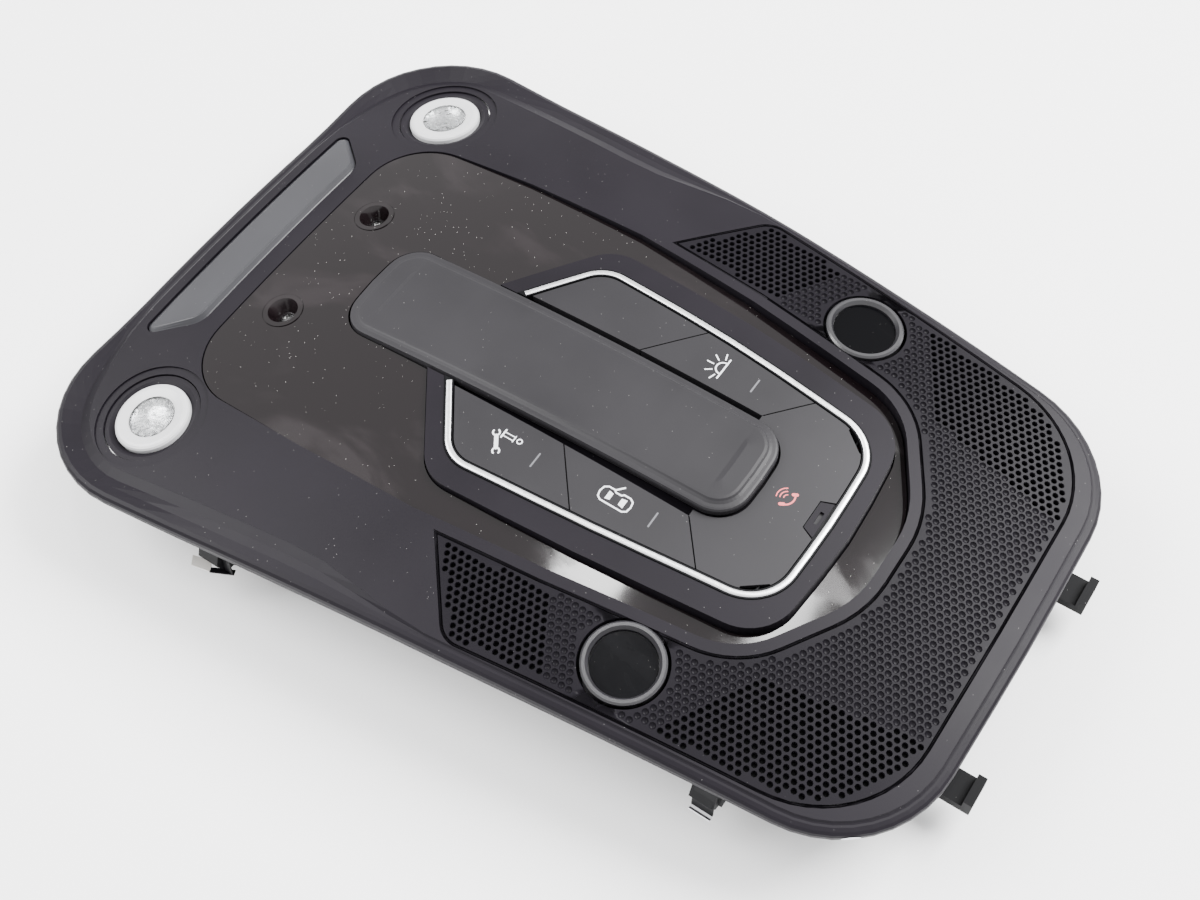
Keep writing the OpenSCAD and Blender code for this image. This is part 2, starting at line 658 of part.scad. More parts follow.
module circuit_board() {
    color([0.09, 0.32, 0.17]) difference() {
        prism(inset(box_line, housing_wall + 1), board_z, board_z + board_wall);
        both() translate([post_at[0][0], post_at[0][1], 0]) cylinder(d = pin_d + 0.2, h = 40);
    }
}
module tact_switches() {
    color([0.2, 0.2, 0.21]) for (p = concat(stem_at, [[emergency_x, 0]]))
        translate([p[0], p[1], board_z + board_wall]) {
            translate([-3, -3, 0]) cube([6, 6, 3.5]);
            cylinder(d = 3.4, h = 4.9 - switch_travel);
        }
}
module rear_housing() {
    color([0.07, 0.07, 0.08]) difference() {
        union() {
            difference() {
                plate(carrier_line, -carrier_d, -carrier_d - carrier_wall);
                prism(inset(frame_line, 3.2));
            }
            intersection() {
                union() {
                    difference() {
                        plate(inset(bezel_line, skirt_inset), -skirt_d, -carrier_d - carrier_wall);
                        prism(inset(bezel_line, skirt_inset + 1.8));
                    }
                    difference() {
                        plate(inset(bezel_line, skirt_inset), -carrier_d, -carrier_d - carrier_wall);
                        prism(inset(bezel_line, 10));
                    }
                }
                translate([52 * sx, -150, 0]) cube([200, 300, 60]);
            }
            difference() {
                intersection() {
                    prism(box_line, 2.2);
                    crown(-carrier_d - 0.5);
                }
                difference() {
                    prism(inset(box_line, housing_wall), 0);
                    for (p = post_at) both() translate([p[0], p[1], board_z + board_wall])
                        cylinder(d = post_d, h = 40);
                    both() translate([post_at[0][0], post_at[0][1], board_z - 1])
                        cylinder(d = pin_d, h = 40);
                    difference() {
                        translate([-200, -100, 0]) cube([400, 200, 80]);
                        crown(-carrier_d - 1);
                    }
                }
            }
            for (p = ear_at) both() intersection() {
                translate([p[0], p[1], cover_at_z]) cylinder(d = 8, h = 50);
                crown(-carrier_d - 0.5);
            }
            for (p = boss_at) both() intersection() {
                translate([p[0], p[1], crown_z(p[0], p[1]) - 13]) cylinder(d = 9, h = 20);
                crown(-carrier_d - 0.5);
            }
            for (p = clip_at) both() intersection() {
                translate([p[0] - 4.5, p[1] - 3, 14]) cube([9, 6, 40]);
                crown(-carrier_d - 0.5);
            }
            both() {
                intersection() {
                    translate([128 * sx, hook_y - 4.5, 9]) cube([6, 9, 40]);
                    crown(-carrier_d - 0.5);
                }
                translate([128 * sx, hook_y - 4.5, 9]) cube([19.5, 9, 3]);
                translate([128 * sx + 17, hook_y - 4.5, 9]) cube([2.5, 9, 6]);
            }
        }
        prism(inset(frame_line, 3.2));
        for (p = ear_at) both() translate([p[0], p[1], 0]) cylinder(d = screw_d, h = 14);
        for (p = boss_at) both() translate([p[0], p[1], 0]) cylinder(d = screw_d + 0.4, h = 60);
        translate([-95 * sx, -socket_w / 2 - 0.3, board_z - socket_h - 0.3])
            cube([20 * sx, socket_w + 0.6, socket_h + 0.3]);
        both() on_crown(lamp_at) disc(8, -16, 0);
    }
}
module back_cover() {
    color([0.08, 0.08, 0.09]) difference() {
        union() {
            prism(box_line, 0, 2.2);
            for (p = ear_at) both() difference() {
                union() {
                    translate([p[0], p[1], cover_at_z - 2]) cylinder(d = 8, h = 2);
                    translate([p[0] - 4, p[1] - 5.4, 0]) cube([8, 2.4, cover_at_z]);
                }
                prism(inset(box_line, -0.1), 2.2);
            }
        }
        for (p = ear_at) both() translate([p[0], p[1], 0]) cylinder(d = screw_d + 0.4, h = 14);
        for (p = ear_at) both() translate([p[0], p[1], -1]) cylinder(d = 2 * screw_d + 0.6,
            h = cover_at_z - 1);
    }
}
module connector_socket() {
    color([0.12, 0.12, 0.13]) difference() {
        translate([socket_front, -socket_w / 2, board_z - socket_h])
            cube([20, socket_w, socket_h]);
        translate([socket_front - 1, -plug_width / 2, board_z - socket_h + 1.5])
            cube([17, plug_width, plug_height]);
    }
}
module connector_pins() {
    color([0.8, 0.7, 0.4]) for (i = [0:9]) for (j = [0, 1])
        translate([socket_front + 6, (i - 4.5) * plug_width / 11 - 0.32,
            board_z - socket_h + 1.5 + plug_height * (0.3 + 0.4 * j) - 0.32]) cube([10, 0.64, 0.64]);
}
module spring_clips() {
    color([0.75, 0.76, 0.78]) for (p = clip_at) both() translate([p[0] - 3.5, p[1], 0])
        rotate([90, 0, 90]) linear_extrude(7) polygon([[-3 - clip_sheet, 24], [-3, 24], [-3, 14],
            [3, 14], [3, 24], [3 + clip_sheet, 24], [5.5 + clip_sheet, 18.5], [3.6 + clip_sheet, 14],
            [3, 14 - clip_sheet], [1.2, 14 - clip_sheet], [1.2, 11.5], [-1.2, 11.5],
            [-1.2, 14 - clip_sheet], [-3, 14 - clip_sheet], [-3.6 - clip_sheet, 14],
            [-5.5 - clip_sheet, 18.5]]);
}
module housing_screws() {
    color([0.6, 0.6, 0.62]) for (p = ear_at) both() translate([p[0], p[1], 0]) {
        translate([0, 0, cover_at_z - 2 - 0.65 * screw_d]) cylinder(d = 1.9 * screw_d,
            h = 0.65 * screw_d);
        translate([0, 0, cover_at_z - 2.1]) cylinder(d = screw_d, h = 10);
    }
}
module bezel_screws() {
    color([0.6, 0.6, 0.62]) for (p = boss_at) both() translate([p[0], p[1],
        crown_z(p[0], p[1]) - 13]) {
        translate([0, 0, -0.65 * screw_d]) cylinder(d = 1.9 * screw_d, h = 0.65 * screw_d);
        translate([0, 0, -0.1]) cylinder(d = screw_d, h = 9.5);
    }
}

main_bezel();
speaker_grille();
gloss_panel();
button_frame();
bright_strip();
center_tongue();
blank_cap();
interior_light_button();
breakdown_button();
door_light_button();
emergency_flap();
flap_tab();
emergency_button();
hinge_pins();
front_trim();
lamp_trim();  // lamp_trim_left
mirror([0, 1, 0]) lamp_trim();  // lamp_trim_right
lamp_ring();  // lamp_ring_left
mirror([0, 1, 0]) lamp_ring();  // lamp_ring_right
lamp_lens();  // lamp_lens_left
mirror([0, 1, 0]) lamp_lens();  // lamp_lens_right
lamp_cup();  // lamp_cup_left
mirror([0, 1, 0]) lamp_cup();  // lamp_cup_right
lamp_board();  // lamp_board_left
mirror([0, 1, 0]) lamp_board();  // lamp_board_right
cover_ring();  // cover_ring_left
mirror([0, 1, 0]) cover_ring();  // cover_ring_right
cover_disc();  // cover_disc_left
mirror([0, 1, 0]) cover_disc();  // cover_disc_right
sensor_pod();  // sensor_pod_left
mirror([0, 1, 0]) sensor_pod();  // sensor_pod_right
funnel();  // funnel_left
mirror([0, 1, 0]) funnel();  // funnel_right
light_outlet();  // light_outlet_left
mirror([0, 1, 0]) light_outlet();  // light_outlet_right
circuit_board();
tact_switches();
rear_housing();
back_cover();
connector_socket();
connector_pins();
spring_clips();
housing_screws();
bezel_screws();
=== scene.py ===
"""Look model of an overhead car console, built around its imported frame.

Lengths are in metres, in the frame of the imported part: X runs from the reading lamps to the
perforated rear field, Y across and Z out of the visible face.
"""

import math

import bmesh
import bpy
import numpy as np
from bpy.props import FloatProperty, FloatVectorProperty, PointerProperty
from bpy.types import Operator, Panel, PropertyGroup
from mathutils import Matrix, Vector
from mathutils.geometry import convex_hull_2d, delaunay_2d_cdt


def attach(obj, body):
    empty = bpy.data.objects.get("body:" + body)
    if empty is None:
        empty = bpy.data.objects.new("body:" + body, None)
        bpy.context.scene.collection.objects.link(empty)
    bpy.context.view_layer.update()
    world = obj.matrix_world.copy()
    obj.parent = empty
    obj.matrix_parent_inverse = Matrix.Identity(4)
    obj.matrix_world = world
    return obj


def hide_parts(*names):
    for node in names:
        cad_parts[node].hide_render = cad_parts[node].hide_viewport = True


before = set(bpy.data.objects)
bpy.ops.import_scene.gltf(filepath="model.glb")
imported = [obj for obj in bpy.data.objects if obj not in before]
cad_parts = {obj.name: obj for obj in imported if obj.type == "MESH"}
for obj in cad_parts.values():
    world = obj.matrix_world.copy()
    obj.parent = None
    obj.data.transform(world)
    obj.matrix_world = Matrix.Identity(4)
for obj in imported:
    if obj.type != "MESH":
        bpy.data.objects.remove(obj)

bl_info = {
    "name": "Overhead Console Look",
    "version": (1, 0, 0),
    "blender": (4, 5, 0),
    "location": "3D View > Sidebar > Console",
    "description": "Finishes, perforated field, signs, lamps and studio of an overhead car console",
    "category": "Object",
}

MM = 0.001
# Points compared with a loop at once
CHUNK = 10000

# Corners of the half outlines with y >= 0, from the rear end to the lamp end: x, y, radius in mm
GLOSS_HALF = ((98.8, 15, 32), (80.5, 44.8, 24), (-14, 58, 500), (-104.2, 55.6, 20))
FIELD_HALF = ((133.3, 0, 1500), (132.6, 67.8, 34), (15.5, 83, 8), (-9.5, 53.2, 3))

# Signs on the caps: x and y of the middle in mm. Their own up is -X and their right is +Y.
SUN_AT = (31.7, 26.3)
WRENCH_AT = (-6.6, -28.0)
BOLT_AT = (-4.3, -24.8)
CAR_AT = (31.0, -25.5)
HANDSET_AT = (68.8, 0.4)
DASHES = {"interior_light_cap": (43.2, 26.3), "breakdown_cap": (6.0, -27.2),
          "door_light_cap": (42.8, -25.2)}


def length(name, description, default, low, high):
    """A length property in metres."""
    return FloatProperty(name=name, description=description, default=default, min=low, max=high,
                         subtype="DISTANCE", unit="LENGTH", precision=5)


def colour(name, description, default):
    """A colour property."""
    return FloatVectorProperty(name=name, description=description, default=default, size=3,
                               min=0.0, max=1.0, subtype="COLOR")


def amount(name, description, default, high, low=0.0, **kind):
    """A number property."""
    return FloatProperty(name=name, description=description, default=default, min=low, max=high,
                         **kind)


class ConsoleForm(PropertyGroup):
    """The crowned face that the pieces sit on."""

    crown_radius: length("Crown Radius", "Radius of the crowned face", 0.768, 0.5, 1.2)
    crown_top: length("Crown Top", "Height of the crown over the lowest face", 0.044, 0.03, 0.06)
    crown_x: length("Crown Middle", "Place of the crown's highest point along the console",
                    0.008, -0.05, 0.05)


class ConsoleField(PropertyGroup):
    """The perforated field behind and beside the switch panel."""

    pitch: length("Hole Pitch", "Distance between neighbouring holes", 0.00225, 0.0015, 0.005)
    hole_radius: length("Hole Radius", "Radius of a through hole", 0.00088, 0.0003, 0.002)
    dimple_radius: length("Dimple Radius", "Radius of a blind dimple at the face", 0.00098,
                          0.0003, 0.002)
    dimple_depth: length("Dimple Depth", "Depth of a blind dimple", 0.0007, 0.0001, 0.0012)
    groove_depth: length("Groove Depth", "Depth of the groove along the field's edge", 0.0003,
                         0.0001, 0.0012)
    wall: length("Wall", "Thickness of the perforated insert", 0.0014, 0.0005, 0.003)
    lip: length("Lip Width", "Width of the lip between the gloss panel and the field", 0.0032,
                0.002, 0.005)
    cover_x: length("Cover X", "Place of the round covers along the console", 0.0583, 0, 0.1)
    cover_y: length("Cover Y", "Place of the round covers across the console", 0.0626, 0, 0.1)
    cover_radius: length("Cover Opening", "Radius of the opening for a round cover", 0.0121,
                         0.008, 0.015)


class ConsoleLamps(PropertyGroup):
    """The optics of the reading lamps."""

    lamp_x: length("Lamp X", "Place of the reading lamps along the console", -0.1008, -0.13, 0)
    lamp_y: length("Lamp Y", "Place of the reading lamps across the console", 0.0699, 0.03, 0.09)
    lens_radius: length("Lens Radius", "Radius of the clear lens", 0.0069, 0.004, 0.01)
    bowl_depth: length("Bowl Depth", "Depth of the reflector bowl below the face", 0.0039,
                       0.002, 0.006)


class ConsoleFinish(PropertyGroup):
    """Colours of the finishes."""

    soft_black: colour("Soft Black", "Matte plastic of the bezel", (0.0064, 0.0054, 0.0074))
    field_black: colour("Field Black", "Plastic of the perforated insert", (0.0055, 0.0048, 0.0064))
    soft_grey: colour("Soft Grey", "Matte plastic of the caps and the tongue",
                      (0.0125, 0.0118, 0.0134))
    piano_black: colour("Piano Black", "Gloss plastic of the panel", (0.0036, 0.0022, 0.0027))
    milky_white: colour("Milky White", "Rings of the reading lamps", (0.52, 0.52, 0.53))
    sign_white: colour("Sign White", "Printed signs", (0.72, 0.73, 0.76))
    sign_red: colour("Sign Red", "Printed emergency sign", (0.62, 0.10, 0.11))
    bright_metal: colour("Bright Metal", "Strip round the caps", (0.90, 0.90, 0.92))


class ConsoleStudio(PropertyGroup):
    """Floor, lights and camera."""

    floor_tone: colour("Floor", "Pale floor", (0.98, 0.98, 0.985))
    sky_strength: amount("Sky Strength", "Brightness of the soft surround", 1.75, 5.0)
    key_power: amount("Key Power", "Power of the large soft light", 76.0, 500.0,
                      subtype="POWER", unit="POWER")
    window_power: amount("Window Power",
                         "Power of the small windows that the gloss panel reflects", 2.0, 50.0,
                         subtype="POWER", unit="POWER")
    lens: amount("Lens", "Focal length of the camera", 45.81, 200.0, 10.0, unit="CAMERA")


# Geometry helpers


def crown_height(form, x, y):
    """Height of the crowned face at x, y."""
    r = form.crown_radius
    return form.crown_top - r + np.sqrt(r * r - (x - form.crown_x) ** 2 - y ** 2)


def rounded_outline(half, step=6.0, far=6.0):
    """Mirrors and rounds a half outline: an array of x, y and the outward direction."""
    corners = [*half, *[(x, -y, r) for x, y, r in half if y][::-1]]
    out = []
    arcs = []
    n = len(corners)
    for i in range(n):
        a, b, e = (np.array(corners[k % n][:2], float) for k in (i - 1, i, i + 1))
        radius = corners[i][2]
        d = (b - a) / np.linalg.norm(b - a)
        f = (e - b) / np.linalg.norm(e - b)
        turn = math.atan2(d[0] * f[1] - d[1] * f[0], float(d @ f))
        side = 1.0 if turn >= 0 else -1.0
        t = radius * math.tan(abs(turn) / 2)
        count = max(2, math.ceil(math.degrees(abs(turn)) / step))
        middle = b - d * t + side * radius * np.array([-d[1], d[0]])
        arc = []
        for j in range(count + 1):
            w = turn * j / count
            u = np.array([d[1] * math.cos(w) + d[0] * math.sin(w),
                          -d[0] * math.cos(w) + d[1] * math.sin(w)])
            arc.append(np.concatenate([middle + side * radius * u, u]))
        arcs.append(arc)
    for i in range(n):
        out.extend(arcs[i])
        last, first = arcs[i][-1], arcs[(i + 1) % n][0]
        gap = np.linalg.norm(first[:2] - last[:2])
        parts = max(1, math.ceil(gap / far))
        for j in range(1, parts):
            out.append(np.concatenate([last[:2] + (first[:2] - last[:2]) * j / parts, first[2:]]))
    return np.array(out)


def inset(line, s):
    """Loop of a rounded outline, moved inwards by s."""
    return line[:, :2] - s * line[:, 2:]


def inside_loop(points, loop):
    """Which points lie inside a closed loop."""
    x0, y0 = loop[:, 0], loop[:, 1]
    x1, y1 = np.roll(loop, -1, 0).T
    rise = np.where(y1 == y0, 1e-12, y1 - y0)
    found = np.zeros(len(points), bool)
    for k in range(0, len(points), CHUNK):
        x, y = points[k:k + CHUNK, :2].T[..., None]
        hit = ((y0 > y) != (y1 > y)) & (x < (x1 - x0) * (y - y0) / rise + x0)
        found[k:k + CHUNK] = hit.sum(1) % 2 == 1
    return found


def distance_to_loop(points, loop):
    """Distance of each point from a closed loop."""
    step = np.roll(loop, -1, 0) - loop
    size = np.maximum((step ** 2).sum(1), 1e-12)
    out = np.zeros(len(points))
    for k in range(0, len(points), CHUNK):
        away = points[k:k + CHUNK, None, :] - loop[None]
        t = np.clip((away * step).sum(2) / size, 0, 1)
        out[k:k + CHUNK] = np.linalg.norm(away - t[..., None] * step, axis=2).min(1)
    return out


def add_object(name, data):
    """Adds an object to the scene."""
    made = bpy.data.objects.new(name, data)
    bpy.context.scene.collection.objects.link(made)
    return made


def aimed(at, right, up, back):
    """Matrix of an object at a place, from the directions of its own axes."""
    return Matrix.Translation(at) @ Matrix((right, up, back)).transposed().to_4x4()


def new_piece(name, points, faces, material, body, smooth_angle=None):
    """Makes a mesh piece that rides on a body and takes its finish from a slot."""
    mesh = bpy.data.meshes.new(name)
    mesh.from_pydata([tuple(p) for p in points], [], [tuple(f) for f in faces])
    mesh.validate()
    mesh.materials.append(material)
    piece = add_object(name, mesh)
    if smooth_angle is not None:
        mesh.polygons.foreach_set("use_smooth", [True] * len(mesh.polygons))
        mesh.set_sharp_from_angle(angle=smooth_angle)
    mesh.update()
    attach(piece, body)
    return piece


def closed_piece(name, points, faces, material, smooth_angle=None):
    """Makes a closed piece that rides on the console, with its faces turned outwards."""
    piece = new_piece(name, points, faces, finish(material), "console", smooth_angle)
    work = bmesh.new()
    work.from_mesh(piece.data)
    bmesh.ops.recalc_face_normals(work, faces=work.faces)
    work.to_mesh(piece.data)
    work.free()


def band(a, b, n):
    """Faces between two loops of n points that start at a and b."""
    return [(a + k, a + (k + 1) % n, b + (k + 1) % n, b + k) for k in range(n)]


def fan(a, tip, n):
    """Faces between a loop of n points that starts at a and one tip."""
    return [(a + k, a + (k + 1) % n, tip) for k in range(n)]


def slab_faces(start, n):
    """Faces of a slab between two loops of n points that follow each other from start."""
    ends = [tuple(range(start, start + n)), tuple(range(start + n, start + 2 * n))]
    return ends + band(start, start + n, n)


def seat_matrix(form, x, y):
    """Matrix of a seat on the crowned face at x, y, its own Z along the face normal."""
    z = float(crown_height(form, x, y))
    normal = Vector((x - form.crown_x, y, z - form.crown_top + form.crown_radius)).normalized()
    turn = Vector((0, 0, 1)).rotation_difference(normal).to_matrix().to_4x4()
    return Matrix.Translation((x, y, z)) @ turn


def turned(profile, segments, ripple=None):
    """Points and faces of a profile of (radius, height) turned about Z, from its rim inwards."""
    points, faces = [], []
    for r, z in profile[:-1]:
        for k in range(segments):
            a = 2 * math.pi * k / segments
            x, y = r * math.cos(a), r * math.sin(a)
            points.append((x, y, z + (ripple(x, y, r) if ripple else 0.0)))
    for j in range(len(profile) - 2):
        faces += band(j * segments, (j + 1) * segments, segments)
    faces += fan((len(profile) - 2) * segments, len(points), segments)
    points.append((0.0, 0.0, profile[-1][1]))
    return points, faces


# Shader helpers


def add_node(tree, kind, label="", **values):
    """Adds a shader node and sets its properties."""
    node = tree.nodes.new("ShaderNode" + kind)
    node.label = label
    for name, value in values.items():
        setattr(node, name, value)
    return node


def set_inputs(node, **values):
    """Sets inputs of a node. An underscore in a name stands for a space."""
    for name, value in values.items():
        node.inputs[name.replace("_", " ")].default_value = value
    return node


def wire(tree, *rows):
    """Links sockets, each row a node, its output, the next node and its input."""
    for source, out, target, given in rows:
        tree.links.new(source.outputs[out], target.inputs[given])


def new_group(name, inputs, outputs):
    """A node group with number sockets: its tree, its input node and its output node."""
    tree = bpy.data.node_groups.new(name, "ShaderNodeTree")
    for socket, default in inputs.items():
        made = tree.interface.new_socket(socket, in_out="INPUT", socket_type="NodeSocketFloat")
        made.default_value = default
    for socket in outputs:
        tree.interface.new_socket(socket, in_out="OUTPUT", socket_type="NodeSocketFloat")
    return tree, tree.nodes.new("NodeGroupInput"), tree.nodes.new("NodeGroupOutput")


def fine_grain_group():
    """Fine moulded grain: its height, and a slow tone over the surface."""
    if "Fine Grain" in bpy.data.node_groups:
        return bpy.data.node_groups["Fine Grain"]
    tree, given, out = new_group("Fine Grain", {"Grain Scale": 3000.0, "Tone Scale": 30.0},
                                 ("Height", "Tone"))
    place = add_node(tree, "TexCoord")
    grain = add_node(tree, "TexNoise", "Grain")
    set_inputs(grain, Detail=3.0, Roughness=0.6)
    tone = add_node(tree, "TexNoise", "Tone")
    set_inputs(tone, Detail=4.0)
    wire(tree, (place, "Object", grain, "Vector"), (place, "Object", tone, "Vector"),
         (given, "Grain Scale", grain, "Scale"), (given, "Tone Scale", tone, "Scale"),
         (grain, "Fac", out, "Height"), (tone, "Fac", out, "Tone"))
    return tree


def dust_group():
    """Settled dust: a mask of small specks, thicker in drifts."""
    if "Dust" in bpy.data.node_groups:
        return bpy.data.node_groups["Dust"]
    tree, given, out = new_group("Dust", {"Speck Scale": 1400.0, "Speck Size": 0.16,
                                          "Amount": 0.5}, ("Mask",))
    place = add_node(tree, "TexCoord")
    cells = add_node(tree, "TexVoronoi", "Specks")
    drift = add_node(tree, "TexNoise", "Drift")
    set_inputs(drift, Scale=60.0, Detail=5.0)
    size = add_node(tree, "Math", "Speck size", operation="MULTIPLY")
    near = add_node(tree, "Math", "Inside a speck", operation="LESS_THAN")
    some = add_node(tree, "Math", "Only some", operation="GREATER_THAN")
    kept = add_node(tree, "Math", "Kept specks", operation="MULTIPLY")
    faint = add_node(tree, "Math", "Amount", operation="MULTIPLY")
    apart = add_node(tree, "SeparateColor", "Cell value")
    some.inputs[1].default_value = 0.55
    wire(tree, (place, "Object", cells, "Vector"), (place, "Object", drift, "Vector"),
         (given, "Speck Scale", cells, "Scale"), (given, "Speck Size", size, 0),
         (drift, "Fac", size, 1), (cells, "Distance", near, 0), (size, "Value", near, 1),
         (cells, "Color", apart, "Color"), (apart, "Red", some, 0), (near, "Value", kept, 0),
         (some, "Value", kept, 1), (kept, "Value", faint, 0), (given, "Amount", faint, 1),
         (faint, "Value", out, "Mask"))
    return tree


def smudge_group():
    """Wiped smudges and finger marks: a soft mask."""
    if "Smudges" in bpy.data.node_groups:
        return bpy.data.node_groups["Smudges"]
    tree, given, out = new_group("Smudges", {"Scale": 22.0, "Edge": 0.52}, ("Mask",))
    place = add_node(tree, "TexCoord")
    stretch = add_node(tree, "Mapping", "Wiping direction")
    set_inputs(stretch, Scale=(1.0, 1.9, 1.0), Rotation=(0.0, 0.0, 0.5))
    wipe = add_node(tree, "TexNoise", "Wipes")
    set_inputs(wipe, Detail=7.0, Distortion=0.9)
    ramp = add_node(tree, "MapRange", "Soft edge", interpolation_type="SMOOTHSTEP")
    top = add_node(tree, "Math", "Edge end", operation="ADD")
    top.inputs[1].default_value = 0.2
    wire(tree, (place, "Object", stretch, "Vector"), (stretch, "Vector", wipe, "Vector"),
         (given, "Scale", wipe, "Scale"), (wipe, "Fac", ramp, "Value"),
         (given, "Edge", ramp, "From Min"), (given, "Edge", top, 0),
         (top, "Value", ramp, "From Max"), (ramp, "Result", out, "Mask"))
    return tree


def place_group(tree, group, **values):
    """Places a node group in a material with its own values."""
    node = tree.nodes.new("ShaderNodeGroup")
    node.node_tree = group
    return set_inputs(node, **values)


def fresh_material(name):
    """A node material: itself, its tree and its Principled shader."""
    material = bpy.data.materials.new(name)
    material.use_nodes = True
    return material, material.node_tree, material.node_tree.nodes["Principled BSDF"]


def tinted(tree, mask, base, other):
    """A colour that goes from base to other with a mask."""
    mix = add_node(tree, "Mix", "Tint", data_type="RGBA")
    set_inputs(mix, A=(*base, 1.0), B=(*other, 1.0))
    tree.links.new(mask, mix.inputs["Factor"])
    return mix.outputs["Result"]


def dusted(tree, shader, plain, dust, **values):
    """Gives a shader a plain colour with specks of dust."""
    specks = place_group(tree, dust_group(), **values)
    mix = add_node(tree, "Mix", "Dust", data_type="RGBA")
    set_inputs(mix, B=(*dust, 1.0))
    tree.links.new(plain, mix.inputs["A"])
    wire(tree, (specks, "Mask", mix, "Factor"), (mix, "Result", shader, "Base Color"))


def ranged(tree, value, low, high):
    """The middle of a noise, 0.3 to 0.7, stretched to low..high."""
    spread = add_node(tree, "MapRange", "Spread")
    set_inputs(spread, From_Min=0.3, From_Max=0.7, To_Min=low, To_Max=high)
    tree.links.new(value, spread.inputs["Value"])
    return spread.outputs["Result"]


def bumped(tree, shader, height, depth, strength):
    """Gives a shader a raised surface."""
    bump = add_node(tree, "Bump", "Surface height")
    set_inputs(bump, Distance=depth, Strength=strength)
    tree.links.new(height, bump.inputs["Height"])
    tree.links.new(bump.outputs["Normal"], shader.inputs["Normal"])


def toned_material(name, grain, tone, base, other):
    """A material whose colour wanders from base to other: itself, its tree, shader and grain."""
    material, tree, shader = fresh_material(name)
    surface = place_group(tree, fine_grain_group(), Grain_Scale=grain, Tone_Scale=tone)
    tree.links.new(tinted(tree, surface.outputs["Tone"], base, other), shader.inputs["Base Color"])
    return material, tree, shader, surface.outputs["Height"]


def soft_plastic(name, base, roughness, grain=3200.0, depth=0.00002, dust=0.35, sheen=0.3):
    """Matte moulded plastic with fine grain, slow tone changes and a little dust."""
    material, tree, shader = fresh_material(name)
    surface = place_group(tree, fine_grain_group(), Grain_Scale=grain, Tone_Scale=26.0)
    tone = ranged(tree, surface.outputs["Tone"], 0.0, 1.0)
    plain = tinted(tree, tone, base, [c * 1.3 for c in base])
    dusted(tree, shader, plain, (0.45, 0.44, 0.43), Speck_Scale=650.0, Speck_Size=0.11, Amount=dust)
    tree.links.new(ranged(tree, surface.outputs["Tone"], roughness - 0.04, roughness + 0.05),
                   shader.inputs["Roughness"])
    bumped(tree, shader, surface.outputs["Height"], depth, 0.6)
    set_inputs(shader, Specular_IOR_Level=sheen)
    return material


def gloss_plastic(name, base, dust, smudge_low, smudge_high, sheen=0.38):
    """Polished plastic with wiped smudges and dust specks."""
    material, tree, shader = fresh_material(name)
    marks = place_group(tree, smudge_group(), Scale=24.0, Edge=0.5)
    plain = tinted(tree, marks.outputs["Mask"], base, [c * 1.7 + 0.002 for c in base])
    dusted(tree, shader, plain, (0.62, 0.6, 0.57), Speck_Scale=900.0, Speck_Size=0.12, Amount=dust)
    rough = add_node(tree, "MapRange", "Smudge roughness")
    set_inputs(rough, To_Min=smudge_low, To_Max=smudge_high)
    wire(tree, (marks, "Mask", rough, "Value"), (rough, "Result", shader, "Roughness"))
    set_inputs(shader, Specular_IOR_Level=sheen)
    return material


def bright_metal(name, base, roughness):
    """Satin plated metal with fine uneven polish."""
    worn = [c * 0.93 for c in base]
    material, tree, shader, height = toned_material(name, 900.0, 40.0, base, worn)
    tree.links.new(ranged(tree, height, roughness - 0.06, roughness + 0.06),
                   shader.inputs["Roughness"])
    set_inputs(shader, Metallic=1.0)
    return material


def milky_plastic(name, base):
    """Milky translucent plastic."""
    deep = [c * 0.94 for c in base]
    material, tree, shader, height = toned_material(name, 1500.0, 90.0, deep, base)
    tree.links.new(ranged(tree, height, 0.18, 0.26), shader.inputs["Roughness"])
    set_inputs(shader, Subsurface_Weight=0.25, Subsurface_Radius=(0.002, 0.002, 0.002))
    return material


def clear_plastic(name, bump_scale, bump_depth, roughness=0.06):
    """Clear plastic with a fine optic on its surface."""
    material, tree, shader = fresh_material(name)
    place = add_node(tree, "TexCoord")
    cells = add_node(tree, "TexVoronoi", "Optic cells", feature="SMOOTH_F1")
    set_inputs(cells, Scale=bump_scale)
    wire(tree, (place, "Object", cells, "Vector"))
    bumped(tree, shader, cells.outputs["Distance"], bump_depth, 0.8)
    tree.links.new(tinted(tree, cells.outputs["Distance"], (0.97, 0.98, 0.98), (0.9, 0.91, 0.92)),
                   shader.inputs["Base Color"])
    set_inputs(shader, Roughness=roughness, Transmission_Weight=1.0, IOR=1.49)
    return material


def printed_sign(name, base):
    """Printed sign, slightly uneven."""
    material, _, shader, _ = toned_material(name, 2500.0, 300.0, base, [c * 0.85 for c in base])
    set_inputs(shader, Roughness=0.5)
    return material


